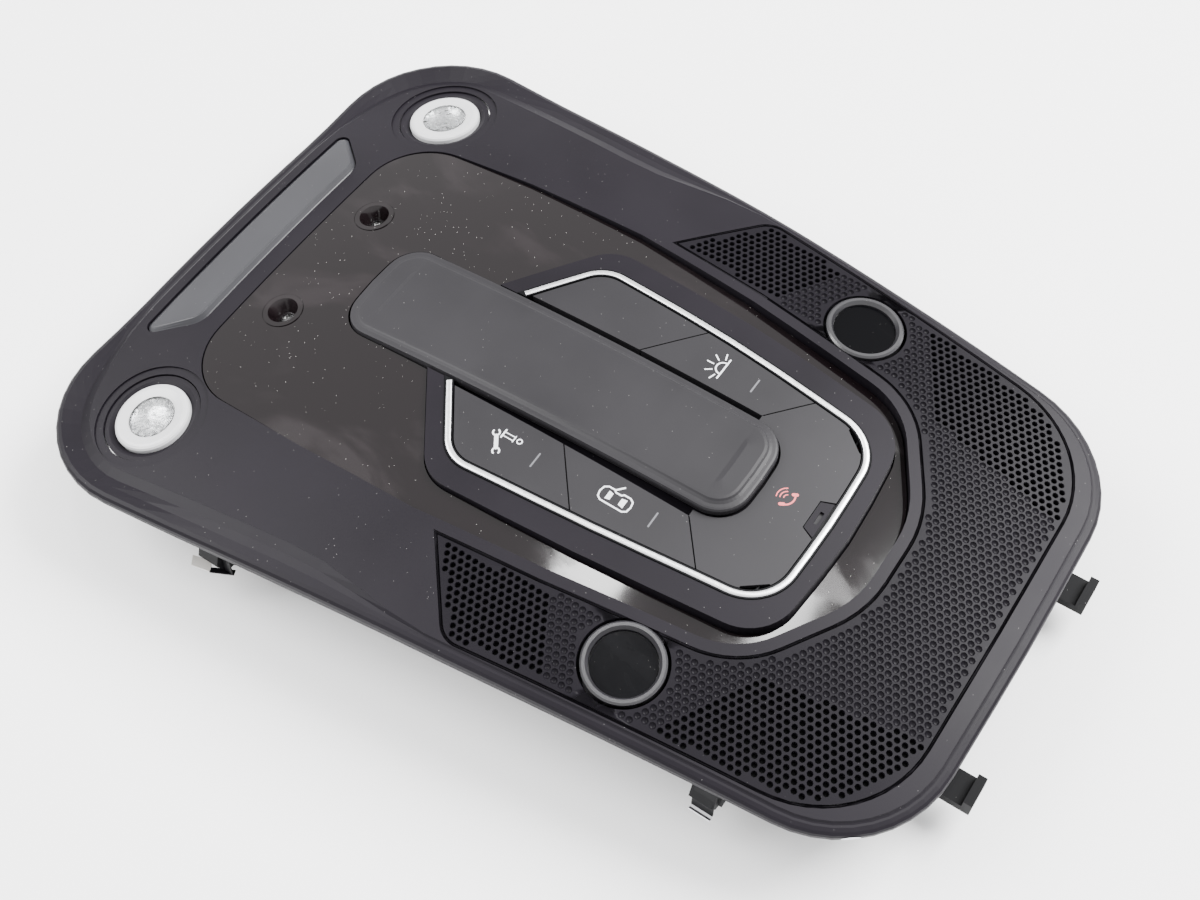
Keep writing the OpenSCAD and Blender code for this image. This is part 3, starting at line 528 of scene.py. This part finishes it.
def finish(name):
    """The material of that name, made once."""
    label = "look_" + name
    if label in bpy.data.materials:
        return bpy.data.materials[label]
    tones = bpy.context.scene.console_finish
    makers = {
        "soft_black": lambda n: soft_plastic(n, tones.soft_black, 0.42, sheen=0.1),
        "field_black": lambda n: soft_plastic(n, tones.field_black, 0.36, dust=0.1, sheen=0.06),
        "soft_grey": lambda n: soft_plastic(n, tones.soft_grey, 0.45, depth=0.00001, sheen=0.2),
        "trim_grey": lambda n: soft_plastic(n, (0.022, 0.022, 0.025), 0.38, sheen=0.3),
        "ring_grey": lambda n: soft_plastic(n, (0.014, 0.0135, 0.0155), 0.3, dust=0.1, sheen=0.6),
        # Black finish that is partly real and partly painted shade: the clips are really black,
        # while the plated strip, the hinge pins and the sheet behind the through holes take it as
        # painted shade
        "black_and_painted_shade": lambda n: soft_plastic(n, (0.003, 0.003, 0.0036), 0.4, dust=0.15,
                                               sheen=0.08),
        "housing_black": lambda n: soft_plastic(n, (0.003, 0.003, 0.0036), 0.5, grain=1500.0,
                                                sheen=0.08),
        "piano_black": lambda n: gloss_plastic(n, tones.piano_black, 0.75, 0.07, 0.22),
        "smooth_dark": lambda n: gloss_plastic(n, (0.0012, 0.0012, 0.0016), 0.2, 0.25, 0.32, 0.05),
        "red_plastic": lambda n: gloss_plastic(n, (0.45, 0.03, 0.03), 0.2, 0.2, 0.3),
        "board_green": lambda n: gloss_plastic(n, (0.02, 0.12, 0.05), 0.2, 0.3, 0.4),
        "bright_metal": lambda n: bright_metal(n, tones.bright_metal, 0.34),
        "steel": lambda n: bright_metal(n, (0.58, 0.58, 0.6), 0.3),
        "brass_pins": lambda n: bright_metal(n, (0.75, 0.62, 0.3), 0.25),
        "bowl_silver": lambda n: bright_metal(n, (0.62, 0.62, 0.63), 0.3),
        "milky_white": lambda n: milky_plastic(n, tones.milky_white),
        "clear_lens": lambda n: clear_plastic(n, 620.0, 0.0004),
        "outlet_clear": lambda n: clear_plastic(n, 1500.0, 0.00002, 0.15),
        "sign_white": lambda n: printed_sign(n, tones.sign_white),
        "sign_red": lambda n: printed_sign(n, tones.sign_red),
        "pale_zinc": lambda n: printed_sign(n, (0.6, 0.58, 0.55)),
        "sign_faint": lambda n: printed_sign(n, (0.10, 0.10, 0.11)),
    }
    return makers[name](label)


NODE_FINISH = {
    "soft_black": ["main_bezel", "button_frame", "flap_tab", "lamp_trim_left", "lamp_trim_right",
                   "speaker_grille"],
    "ring_grey": ["cover_ring_left", "cover_ring_right"],
    "soft_grey": ["center_tongue", "blank_cap", "interior_light_button", "breakdown_button",
                  "door_light_button", "emergency_flap"],
    "trim_grey": ["front_trim"],
    "piano_black": ["gloss_panel", "funnel_left", "funnel_right"],
    "milky_white": ["lamp_ring_left", "lamp_ring_right"],
    "clear_lens": ["lamp_lens_left", "lamp_lens_right"],
    "outlet_clear": ["light_outlet_left", "light_outlet_right"],
    "smooth_dark": ["cover_disc_left", "cover_disc_right"],
    "red_plastic": ["emergency_button"],
    # Painted shade: the plated bright strip and the steel hinge pins take this black so they read
    # as dark shadow gaps beside the strip's crown and by the flap
    "black_and_painted_shade": ["lamp_cup_left", "lamp_cup_right", "bright_strip", "spring_clips",
                     "hinge_pins"],
    "housing_black": ["sensor_pod_left", "sensor_pod_right", "tact_switches", "rear_housing",
                      "back_cover", "connector_socket"],
    "board_green": ["circuit_board", "lamp_board_left", "lamp_board_right"],
    "brass_pins": ["connector_pins"],
    "steel": ["housing_screws", "bezel_screws"],
}


class CONSOLE_OT_frame_finishes(Operator):
    """Gives every node of the frame its finish"""

    bl_idname = "console.frame_finishes"
    bl_label = "Frame Finishes"

    def execute(self, context):
        left = set(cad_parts)
        for name, nodes in NODE_FINISH.items():
            for node in nodes:
                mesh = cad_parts[node].data
                mesh.materials.clear()
                mesh.materials.append(finish(name))
                left.discard(node)
        if left:
            raise RuntimeError("these nodes have no finish: %s" % sorted(left))
        return {"FINISHED"}


# Perforated field, in mm

# Gap to the bezel, the face's drop below the crown, and the groove: distances from the edge, and
# which of them are at its bottom
EDGE_GAP = 0.1
FACE_DROP = 0.1
GROOVE_AT = (0.0, 0.45, 0.56, 0.72, 0.83)
GROOVE_BOTTOM = (0, 0, 1, 1, 0)
HOLE_SIDES = 8
COVER_SIDES = 72
# The dark sheet behind the through holes, painted shade for the cavity behind them: its reach
# beyond them and its two heights below the wall
SHADE_SHEET_REACH = 1.5
SHADE_SHEET_DOWN = (0.3, 0.6)


def hole_lattice(field, edges, covers):
    """Hole middles in mm, and which of them go through."""
    pitch = field.pitch / MM
    row = pitch * math.sqrt(3) / 2
    middles = np.array([((i + (j % 2) / 2) * pitch, j * row)
                        for i in range(-8, 64) for j in range(-46, 47)])
    reach = field.dimple_radius / MM
    outer, inner = edges
    kept = inside_loop(middles, outer) & ~inside_loop(middles, inner)
    kept &= distance_to_loop(middles, outer) > 1.1 + reach
    kept &= distance_to_loop(middles, inner) > 1.0 + reach
    for middle in covers:
        kept &= np.linalg.norm(middles - middle, axis=1) > field.cover_radius / MM + reach + 0.25
    middles = middles[kept]
    # The through holes fill two slanting zones on each side, by the front and the rear corner
    u, v = middles[:, 0], np.abs(middles[:, 1])
    front = (u > -1) & (u < 30.6 + (v - 53.7) * 0.58)
    rear = (u > 75.7 + (71 - v) * 0.56) & (v > 46.3 - (u - 89.5) * 0.22)
    return middles, front | rear


def hole_circle():
    """Corners of a hole of radius 1."""
    angles = 2 * math.pi * (np.arange(HOLE_SIDES) + 0.5) / HOLE_SIDES
    return np.stack([np.cos(angles), np.sin(angles)], 1)


def hole_rings(middles, radius, depth_of, profile):
    """Walls of the holes: rings of points going down, with an optional closing middle point."""
    sides, circle = HOLE_SIDES, hole_circle()
    points, faces = [], []
    closed = profile[-1][0] == 0
    rings = profile[:-1] if closed else profile
    for middle in middles:
        start = len(points)
        for share, down in rings:
            xy = middle + circle * radius * share
            z = depth_of(middle + circle * radius) - down
            points.extend(np.column_stack([xy, z]))
        for j in range(len(rings) - 1):
            faces += band(start + j * sides, start + (j + 1) * sides, sides)
        if closed:
            faces += fan(start + (len(rings) - 1) * sides, len(points), sides)
            points.append((*middle, float(depth_of(middle[None])[0]) - profile[-1][1]))
    return points, faces


def hole_shade_sheet(holes, underside):
    """A dark slab of painted shade behind each of the four zones of through holes, standing for the
    shaded cavity behind them.
    """
    points, faces = [], []
    for rear in (False, True):
        for side in (1, -1):
            zone = holes[((holes[:, 0] > 60) == rear) & (holes[:, 1] * side > 0)]
            hull = zone[convex_hull_2d([tuple(p) for p in zone])]
            away = hull - hull.mean(0)
            hull = hull + away * (SHADE_SHEET_REACH / np.linalg.norm(away, axis=1))[:, None]
            faces += slab_faces(len(points), len(hull))
            points += [(x * MM, y * MM, z * MM) for down in SHADE_SHEET_DOWN
                       for (x, y), z in zip(hull, underside(hull) - down)]
    closed_piece("hole_shade_sheet", points, faces, "black_and_painted_shade")


class CONSOLE_OT_perforated_field(Operator):
    """Builds the perforated insert with its through holes, blind dimples and edge groove"""

    bl_idname = "console.perforated_field"
    bl_label = "Perforated Field"

    def execute(self, context):
        form = context.scene.console_form
        field = context.scene.console_field
        outline = rounded_outline(FIELD_HALF)
        lip = rounded_outline(GLOSS_HALF, 5.0, 5.0)
        lip_out = field.lip / MM + EDGE_GAP
        outer, inner = inset(outline, EDGE_GAP), inset(lip, -lip_out)
        cover = np.array([field.cover_x, field.cover_y]) / MM
        covers = (cover, cover * (1, -1))
        middles, through = hole_lattice(field, (outer, inner), covers)
        radii = np.where(through, field.hole_radius, field.dimple_radius) / MM
        groove_down = np.array(GROOVE_BOTTOM) * field.groove_depth / MM

        points, edges, owner = [], [], []

        def add_loop(loop, tag):
            start, n = len(points), len(loop)
            points.extend(Vector((float(p[0]), float(p[1]))) for p in loop)
            edges.extend((start + k, start + (k + 1) % n) for k in range(n))
            owner.extend([tag] * n)

        for s in GROOVE_AT:
            add_loop(inset(outline, EDGE_GAP + s), -1)
            add_loop(inset(lip, -lip_out - s), -1)
        angle = np.linspace(0, 2 * math.pi, COVER_SIDES, endpoint=False)
        ring = np.stack([np.cos(angle), np.sin(angle)], 1) * field.cover_radius / MM
        for middle in covers:
            add_loop(middle + ring, -1)
        for k, middle in enumerate(middles):
            add_loop(middle + hole_circle() * radii[k], k)

        flat, _, tris, sources, _, _ = delaunay_2d_cdt(points, edges, [], 0, 1e-6)
        xy = np.array([tuple(p) for p in flat])
        tag = np.array([owner[s[0]] if s else -1 for s in sources])
        tris = np.array([t for t in tris if len(t) == 3])
        centre = xy[tris].mean(1)
        own = tag[tris]
        in_hole = (own[:, 0] >= 0) & (own[:, 0] == own[:, 1]) & (own[:, 1] == own[:, 2])
        keep = inside_loop(centre, outer) & ~inside_loop(centre, inner) & ~in_hole
        for middle in covers:
            keep &= np.linalg.norm(centre - middle, axis=1) > field.cover_radius / MM - 0.02
        tris = tris[keep]

        def face_height(p):
            return crown_height(form, p[:, 0] * MM, p[:, 1] * MM) / MM - FACE_DROP

        away = np.minimum(distance_to_loop(xy, outer), distance_to_loop(xy, inner))
        z = face_height(xy) - np.interp(away, GROOVE_AT, groove_down)
        turn = np.cross(xy[tris[:, 1]] - xy[tris[:, 0]], xy[tris[:, 2]] - xy[tris[:, 0]])
        tris[turn < 0] = tris[turn < 0][:, ::-1]
        verts = [tuple(p) for p in np.column_stack([xy, z])]
        faces = [tuple(int(v) for v in t) for t in tris]

        # A wall hangs from each edge between points of the loops, also from those below the groove
        used = {}
        for a, b, c in faces:
            for way in ((a, b), (b, c), (c, a)):
                used.pop(way[::-1], None)
                used[way] = True
        low = {}
        wall = field.wall / MM
        for a, b in used:
            if tag[a] >= 0 or tag[b] >= 0:
                continue
            for v in (a, b):
                if v not in low:
                    low[v] = len(verts)
                    verts.append((verts[v][0], verts[v][1], verts[v][2] - wall))
            faces.append((b, a, low[a], low[b]))

        depth = field.dimple_depth / MM
        for group, radius, profile in (
                (middles[~through], field.dimple_radius / MM,
                 ((1.0, 0.0), (0.86, 0.45 * depth), (0.5, 0.9 * depth), (0.0, depth))),
                (middles[through], field.hole_radius / MM,
                 ((1.0, 0.0), (0.94, 0.15), (0.9, wall)))):
            ring_points, ring_faces = hole_rings(group, radius, face_height, profile)
            start = len(verts)
            verts.extend(tuple(p) for p in ring_points)
            faces.extend(tuple(v + start for v in f) for f in ring_faces)

        piece = new_piece("perforated_field", [tuple(c * MM for c in v) for v in verts], faces,
                          finish("field_black"), "console", math.radians(38))
        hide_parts("speaker_grille")

        # A dark sheet of painted shade goes close behind the through holes
        hole_shade_sheet(middles[through], lambda p: face_height(p) - wall)
        return {"FINISHED"}


# Signs


def around(middle, radius, angles):
    """Points at these angles round a middle."""
    return [(middle[0] + radius * math.cos(a), middle[1] + radius * math.sin(a)) for a in angles]


class SignPad:
    """Collects the flat shapes of a sign, in its own right and up directions, in mm."""

    def __init__(self, form, at, turn=0.0):
        self.form, self.at, self.turn = form, at, math.radians(turn)
        self.points, self.faces, self.level = [], [], 0

    def add(self, points, faces):
        start = len(self.points)
        self.level += 1
        c, s = math.cos(self.turn), math.sin(self.turn)
        for u, v in points:
            u, v = u * c - v * s, u * s + v * c
            x, y = (self.at[0] - v) * MM, (self.at[1] + u) * MM
            z = float(crown_height(self.form, x, y)) + (0.012 + 0.003 * self.level) * MM
            self.points.append((x, y, z))
        self.faces.extend(tuple(start + k for k in f) for f in faces)

    def ribbon(self, line, width, closed=False, round_ends=True):
        line = np.array(line, float)
        n = len(line)
        before, after = np.roll(line, 1, 0), np.roll(line, -1, 0)
        if not closed:
            before[0], after[-1] = 2 * line[0] - line[1], 2 * line[-1] - line[-2]
        d0 = line - before
        d1 = after - line
        d0 /= np.linalg.norm(d0, axis=1)[:, None]
        d1 /= np.linalg.norm(d1, axis=1)[:, None]
        side = np.stack([-(d0 + d1)[:, 1], (d0 + d1)[:, 0]], 1)
        side /= np.linalg.norm(side, axis=1)[:, None]
        square = np.stack([-d0[:, 1], d0[:, 0]], 1)
        grow = np.clip((side * square).sum(1), 0.35, 1.0)
        side = side * (width / 2 / grow)[:, None]
        points = [tuple(p) for p in line + side] + [tuple(p) for p in line - side]
        count = n if closed else n - 1
        self.add(points, [(k, (k + 1) % n, n + (k + 1) % n, n + k)[::-1] for k in range(count)])
        if not closed and round_ends:
            for end in (line[0], line[-1]):
                self.disc(end, width / 2)

    def disc(self, middle, radius, sides=16):
        self.patch(around(middle, radius, 2 * math.pi * np.arange(sides) / sides))

    def arc(self, middle, radius, start, end, width, parts=18):
        self.ribbon(around(middle, radius, np.radians(np.linspace(start, end, parts + 1))), width)

    def circle(self, middle, radius, width, parts=24):
        self.ribbon(around(middle, radius, 2 * math.pi * np.arange(parts) / parts), width,
                    closed=True)

    def patch(self, corners):
        self.add(corners, [tuple(range(len(corners)))[::-1]])

    def make(self, name, body, material="sign_white"):
        return new_piece(name, self.points, self.faces, finish(material), body)


class CONSOLE_OT_cap_signs(Operator):
    """Prints the signs and the faint indicator bars on the caps and the flap"""

    bl_idname = "console.cap_signs"
    bl_label = "Cap Signs"

    def execute(self, context):
        form = context.scene.console_form
        line = 0.42
        sun = SignPad(form, SUN_AT)
        sun.ribbon([(-3.7, -1.3), (3.7, -1.3)], line + 0.08)
        sun.arc((0, -1.1), 2.1, 0, 180, line + 0.05)
        for a in (18, 54, 90, 126, 162):
            c, s = math.cos(math.radians(a)), math.sin(math.radians(a))
            sun.ribbon([(3.2 * c, -1.1 + 3.2 * s), (5.1 * c, -1.1 + 5.1 * s)], line)
        sun.make("sign_interior_light", "interior_light_cap")

        wrench = SignPad(form, WRENCH_AT, -56.0)
        for s in (-1, 1):
            wrench.ribbon([(-0.42 * s, -2.3), (-0.42 * s, 2.2)], 0.3)
            wrench.arc((0, 3.0 * s), 0.98, 90 * s + 48, 90 * s + 312, 0.5)
        wrench.ribbon([(0, -2.3), (0, 2.2)], 0.5)
        wrench.make("sign_wrench", "breakdown_cap")
        bolt = SignPad(form, BOLT_AT)
        bolt.ribbon([(-1.3, 2.0), (1.3, 2.0)], 0.55)
        for u in (-0.62, 0.62):
            bolt.ribbon([(u, 2.0), (u, -1.6)], 0.3)
        bolt.ribbon([(-0.95, -1.6), (0.95, -1.6)], 0.34)
        bolt.circle((0.1, -3.3), 0.72, 0.36)
        bolt.make("sign_bolt", "breakdown_cap")

        car = SignPad(form, CAR_AT)
        body = [(-2.3, 3.4), (-1.6, 4.5), (0.0, 4.9), (1.6, 4.5), (2.3, 3.4), (2.3, 1.5),
                (1.75, 0.9), (1.75, -0.9), (2.3, -1.4), (2.3, -3.5), (1.6, -4.6), (0.0, -4.9),
                (-1.6, -4.6), (-2.3, -3.5)]
        car.ribbon(body, 0.46, closed=True)
        car.patch([(-1.35, 2.6), (1.35, 2.6), (1.05, 1.2), (-1.05, 1.2)])
        car.patch([(-1.05, -1.5), (1.05, -1.5), (1.35, -3.1), (-1.35, -3.1)])
        car.ribbon([(2.2, 1.45), (4.2, -0.4)], 0.5)
        car.make("sign_open_door", "door_light_cap")

        handset = SignPad(form, HANDSET_AT, -20.0)
        handset.arc((0, 1.2), 3.0, 215, 325, 0.5)
        for u in (-2.35, 2.35):
            handset.ribbon([(u - 0.35, -0.25), (u + 0.35, -0.85)], 1.0)
        for radius in (1.1, 2.1, 3.1):
            handset.arc((0.0, -0.2), radius, 50, 130, 0.34)
        handset.make("sign_handset", "flap", "sign_red")

        for k, (body_name, at) in enumerate(DASHES.items()):
            bar = SignPad(form, at)
            bar.ribbon([(-2.3, 0), (2.3, 0)], 0.5)
            bar.make("indicator_bar_%d" % (k + 1), body_name, "sign_faint")
        return {"FINISHED"}


# Reading lamps, in metres

LENS_SIDES = 96
BOWL_SIDES = 24
# Radius of the lens's dome, and the height and the pitch of its fine optic
DOME_RADIUS = 0.06
OPTIC_HEIGHT = 0.00006
OPTIC_PITCH = 0.00026
# Reflector bowl below the face, from its rim: radius and height
BOWL = ((0.0068, -0.0019), (0.0060, -0.0026), (0.0048, -0.0033), (0.0034, -0.0037),
        (0.0018, -0.00385))


class CONSOLE_OT_lamp_optics(Operator):
    """Builds the clear lenses with their fine optic and the reflector bowls of the reading lamps"""

    bl_idname = "console.lamp_optics"
    bl_label = "Lamp Optics"

    def execute(self, context):
        form = context.scene.console_form
        lamps = context.scene.console_lamps
        radius = lamps.lens_radius

        def top(r):
            return 0.0001 - DOME_RADIUS + math.sqrt(DOME_RADIUS ** 2 - r * r)

        def optic(x, y, r):
            if r > 0.93 * radius:
                return 0.0
            return OPTIC_HEIGHT * math.cos(x / OPTIC_PITCH) * math.cos(y / OPTIC_PITCH)

        steps = [radius, 0.985 * radius] + [radius * k / 22 for k in range(21, 0, -1)]
        upper = [(steps[0], top(steps[0]) - 0.00012)]
        upper += [(r, top(r)) for r in steps[1:] + [0]]
        lower = [(radius * k, -0.0018) for k in (1.0, 0.6, 0.0)]
        for side, sign in (("left", 1), ("right", -1)):
            seat = seat_matrix(form, lamps.lamp_x, sign * lamps.lamp_y)
            points, faces = turned(upper, LENS_SIDES, optic)
            n = len(points)
            low_points, low_faces = turned(lower, LENS_SIDES)
            points += low_points
            faces += [tuple(n + v for v in f[::-1]) for f in low_faces]
            faces += [(k, n + k, n + (k + 1) % LENS_SIDES, (k + 1) % LENS_SIDES)
                      for k in range(LENS_SIDES)]
            lens = new_piece("lamp_optic_" + side, [seat @ Vector(p) for p in points], faces,
                             finish("clear_lens"), "console", math.radians(40))
            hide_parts("lamp_lens_" + side)
            points, faces = turned(BOWL + ((0.0, -lamps.bowl_depth),), BOWL_SIDES)
            new_piece("lamp_bowl_" + side, [seat @ Vector(p) for p in points], faces,
                      finish("bowl_silver"), "console")
        return {"FINISHED"}


# Bright strip round the caps

# Half outline of the strip's middle line in mm, and half the tongue's width with its clearance
STRIP_HALF = ((82.3, 0, 250), (81, 30, 14), (30, 36, 600), (-15.2, 38.9, 11), (-31.5, 16.5, 3),
              (-40, 5, 2))
TONGUE_HALF_WIDTH = 18.3
# Cross-section of the strip in mm: outwards from its middle line, and height over the face
STRIP_SECTION = ((-0.8, 0.2), (-0.74, 0.32), (-0.45, 0.42), (0.0, 0.46), (0.45, 0.42), (0.74, 0.32),
                 (0.8, 0.2))


class CONSOLE_OT_strip_crown(Operator):
    """Builds the rounded bright crown of the strip round the caps"""

    bl_idname = "console.strip_crown"
    bl_label = "Strip Crown"

    def execute(self, context):
        form = context.scene.console_form
        line = rounded_outline(STRIP_HALF, 4.0, 2.5)
        line = line[(line[:, 0] > 0) | (np.abs(line[:, 1]) > TONGUE_HALF_WIDTH)]
        jump = np.linalg.norm(np.roll(line, -1, 0)[:, :2] - line[:, :2], axis=1).argmax()
        line = np.roll(line, -jump - 1, 0)
        points, faces = [], []
        n = len(STRIP_SECTION)
        for x, y, u, v in line:
            for out, up in STRIP_SECTION:
                px, py = (x + u * out) * MM, (y + v * out) * MM
                points.append((px, py, float(crown_height(form, px, py)) + up * MM))
        for k in range(len(line) - 1):
            faces += band(k * n, (k + 1) * n, n)
        last = (len(line) - 1) * n
        faces += [tuple(range(n)), tuple(range(last, last + n))[::-1]]
        closed_piece("strip_crown", points, faces, "bright_metal", math.radians(50))
        return {"FINISHED"}


# Spring clips and the mark on the edge

# Middles of the clips in mm, and the profiles of their pieces as outward reach and height in mm
CLIPS_AT = ((-60.0, 84.6), (90.6, 70.0))
CLIP_LEG = ((3.4, 25.0), (5.3, 19.2), (6.0, 14.2), (6.4, 14.0), (5.8, 19.0), (3.8, 25.2))
CLIP_LIP = ((5.9, 14.2), (6.9, 13.4), (7.6, 13.7), (7.75, 13.4), (6.9, 12.9), (5.6, 13.8))
CLIP_TONGUE = ((5.7, 14.2), (5.2, 10.6), (5.55, 10.5), (6.1, 14.1))
# Corners of the pale flag of a front clip and of its bar, their faces at y 93, and their slope
CLIP_FLAG = ((-70.6, 92.4), (-65.0, 90.8), (-62.4, 93.8), (-68.3, 95.3))
CLIP_BAR = ((-63.4, 92.5), (-57.4, 89.2), (-56.6, 90.8), (-62.6, 94.1))
SHEET_FACES = (14.3, 13.8)
SHEET_SLOPE = 0.25
# The oval mark: its middle, its outward direction, its half axes and its number of corners
MARK_AT = (127.13, -67.37, 29.5)
MARK_OUT = (0.62, -0.785, 0.0)
MARK_REACH = (2.5, 0.72)
MARK_SIDES = 32


class CONSOLE_OT_clip_springs(Operator):
    """Builds the outer legs, the bright lips and the tongues of the spring clips"""

    bl_idname = "console.clip_springs"
    bl_label = "Clip Springs"

    def execute(self, context):
        parts = (("clip_legs", CLIP_LEG, 3.2, "black_and_painted_shade", CLIPS_AT),
                 ("clip_lips", CLIP_LIP, 3.2, "steel", CLIPS_AT[1:]),
                 ("clip_tongues", CLIP_TONGUE, 1.0, "black_and_painted_shade", CLIPS_AT))
        sheets = (("clip_flags", CLIP_FLAG, "pale_zinc"), ("clip_bars", CLIP_BAR, "black_and_painted_shade"))
        for name, profile, half, material, places in parts:
            points, faces = [], []
            for x, y in places:
                for side in (1, -1):
                    faces += slab_faces(len(points), len(profile))
                    points += [(end * MM, (y + reach) * side * MM, z * MM)
                               for end in (x - half, x + half) for reach, z in profile]
            closed_piece(name, points, faces, material)
        for name, corners, material in sheets:
            points, faces = [], []
            for side in (1, -1):
                faces += slab_faces(len(points), 4)
                points += [(x * MM, y * side * MM, (z + SHEET_SLOPE * (y - 93)) * MM)
                           for z in SHEET_FACES for x, y in corners]
            closed_piece(name, points, faces, material)
        return {"FINISHED"}


class CONSOLE_OT_edge_mark(Operator):
    """Paints the pale oval mark on the near rear corner of the edge"""

    bl_idname = "console.edge_mark"
    bl_label = "Edge Mark"

    def execute(self, context):
        out = Vector(MARK_OUT)
        along = out.cross(Vector((0, 0, 1)))
        up = along.cross(out)
        n = MARK_SIDES
        angles = [2 * math.pi * k / n for k in range(n)]
        points = [(Vector(MARK_AT) + along * MARK_REACH[0] * share * math.cos(a)
                   + up * MARK_REACH[1] * share * math.sin(a) + out * lift) * MM
                  for lift, share in ((0.02, 1.0), (0.1, 0.93)) for a in angles]
        points.append((Vector(MARK_AT) + out * 0.12) * MM)
        faces = [*band(0, n, n), *fan(n, 2 * n, n), tuple(range(n))[::-1]]
        closed_piece("edge_mark", points, faces, "sign_white")
        return {"FINISHED"}


# Stage

# Rows of the camera's turn in the part's frame: image right, image up and away from the view
CAMERA_TURN = ((0.8270146, 0.5608194, -0.0390958), (-0.4550204, 0.7085938, 0.5393062),
               (0.3301564, -0.4282247, 0.8412017))
CAMERA_AT = (0.15608, -0.19280, 0.39278)
FLOOR_REACH = 3.0
FLOOR_LEVEL = -0.0002
# The soft lights: name, place, the point they face, size, and the power they have a share of
SOFTBOXES = (
    ("key_softbox", (0.62, 0.82, 1.1), (0.0, 0.0, 0.0), (0.8, 0.8), "key_power", 1.0),
    ("fill_softbox", (-0.95, -0.4, 1.1), (0.0, 0.0, 0.0), (0.9, 0.9), "key_power", 0.45),
    ("side_window", (-0.215, 0.285, 1.268), (0.036, -0.045, 0.039), (0.13, 0.075),
     "window_power", 1.0),
    ("rear_window", (0.145, 0.42, 1.25), (0.086, -0.027, 0.036), (0.07, 0.2), "window_power", 1.0),
)


class CONSOLE_OT_studio(Operator):
    """Sets up the pale floor, the soft lights and the camera"""

    bl_idname = "console.studio"
    bl_label = "Studio"

    def execute(self, context):
        studio = context.scene.console_studio
        scene = context.scene
        mesh = bpy.data.meshes.new("floor")
        corners = [(x * FLOOR_REACH, y * FLOOR_REACH, FLOOR_LEVEL)
                   for x, y in ((-1, -1), (1, -1), (1, 1), (-1, 1))]
        mesh.from_pydata(corners, [], [(0, 1, 2, 3)])
        floor = add_object("floor", mesh)
        tone = studio.floor_tone
        deep = [c * 0.99 for c in tone]
        material, _, shader, _ = toned_material("floor_paper", 400.0, 3.0, deep, tone)
        set_inputs(shader, Roughness=0.8)
        mesh.materials.append(material)

        world = bpy.data.worlds.new("soft_surround")
        world.use_nodes = True
        scene.world = world
        ground = world.node_tree.nodes["Background"]
        set_inputs(ground, Color=(1.0, 1.0, 1.0, 1.0), Strength=studio.sky_strength)
        for name, at, aim, size, power, share in SOFTBOXES:
            self.softbox(name, at, aim, size, getattr(studio, power) * share)

        camera = add_object("camera", bpy.data.cameras.new("camera"))
        camera.matrix_world = aimed(CAMERA_AT, *CAMERA_TURN)
        camera.data.lens = studio.lens
        camera.data.sensor_width = 36.0
        camera.data.clip_start = 0.01
        scene.camera = camera
        return {"FINISHED"}

    @staticmethod
    def softbox(name, at, aim, size, power):
        """One rectangular soft light at a place, turned to a point."""
        lamp = bpy.data.lights.new(name, "AREA")
        lamp.shape = "RECTANGLE"
        lamp.size, lamp.size_y = size
        lamp.energy = power
        back = (Vector(at) - Vector(aim)).normalized()
        up = back.cross(Vector((1.0, 0.0, 0.0))).normalized()
        add_object(name, lamp).matrix_world = aimed(at, up.cross(back), up, back)


class CONSOLE_PT_sidebar(Panel):
    """Sizes, colours and steps of the console's look"""

    bl_idname = "CONSOLE_PT_sidebar"
    bl_label = "Console"
    bl_space_type = "VIEW_3D"
    bl_region_type = "UI"
    bl_category = "Console"

    def draw(self, context):
        layout = self.layout
        for name in GROUPS:
            group = getattr(context.scene, name)
            box = layout.box()
            box.label(text=name.replace("_", " ").title())
            for key in group.__annotations__:
                box.prop(group, key)
        for step in STEPS:
            layout.operator(step.bl_idname)


GROUPS = {"console_form": ConsoleForm, "console_field": ConsoleField, "console_lamps": ConsoleLamps,
          "console_finish": ConsoleFinish, "console_studio": ConsoleStudio}
STEPS = (CONSOLE_OT_studio, CONSOLE_OT_frame_finishes, CONSOLE_OT_perforated_field,
         CONSOLE_OT_cap_signs, CONSOLE_OT_lamp_optics, CONSOLE_OT_strip_crown,
         CONSOLE_OT_clip_springs, CONSOLE_OT_edge_mark)


def register():
    for group in GROUPS.values():
        bpy.utils.register_class(group)
    for name, group in GROUPS.items():
        setattr(bpy.types.Scene, name, PointerProperty(type=group))
    for step in STEPS:
        bpy.utils.register_class(step)
    bpy.utils.register_class(CONSOLE_PT_sidebar)


def unregister():
    bpy.utils.unregister_class(CONSOLE_PT_sidebar)
    for step in reversed(STEPS):
        bpy.utils.unregister_class(step)
    for name in GROUPS:
        delattr(bpy.types.Scene, name)
    for group in reversed(GROUPS.values()):
        bpy.utils.unregister_class(group)


def main():
    """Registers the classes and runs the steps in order."""
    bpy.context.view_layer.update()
    register()
    bpy.ops.console.studio()
    bpy.ops.console.frame_finishes()
    bpy.ops.console.perforated_field()
    bpy.ops.console.cap_signs()
    bpy.ops.console.lamp_optics()
    bpy.ops.console.strip_crown()
    bpy.ops.console.clip_springs()
    bpy.ops.console.edge_mark()
    bpy.context.view_layer.update()


if __name__ == "__main__":
    main()
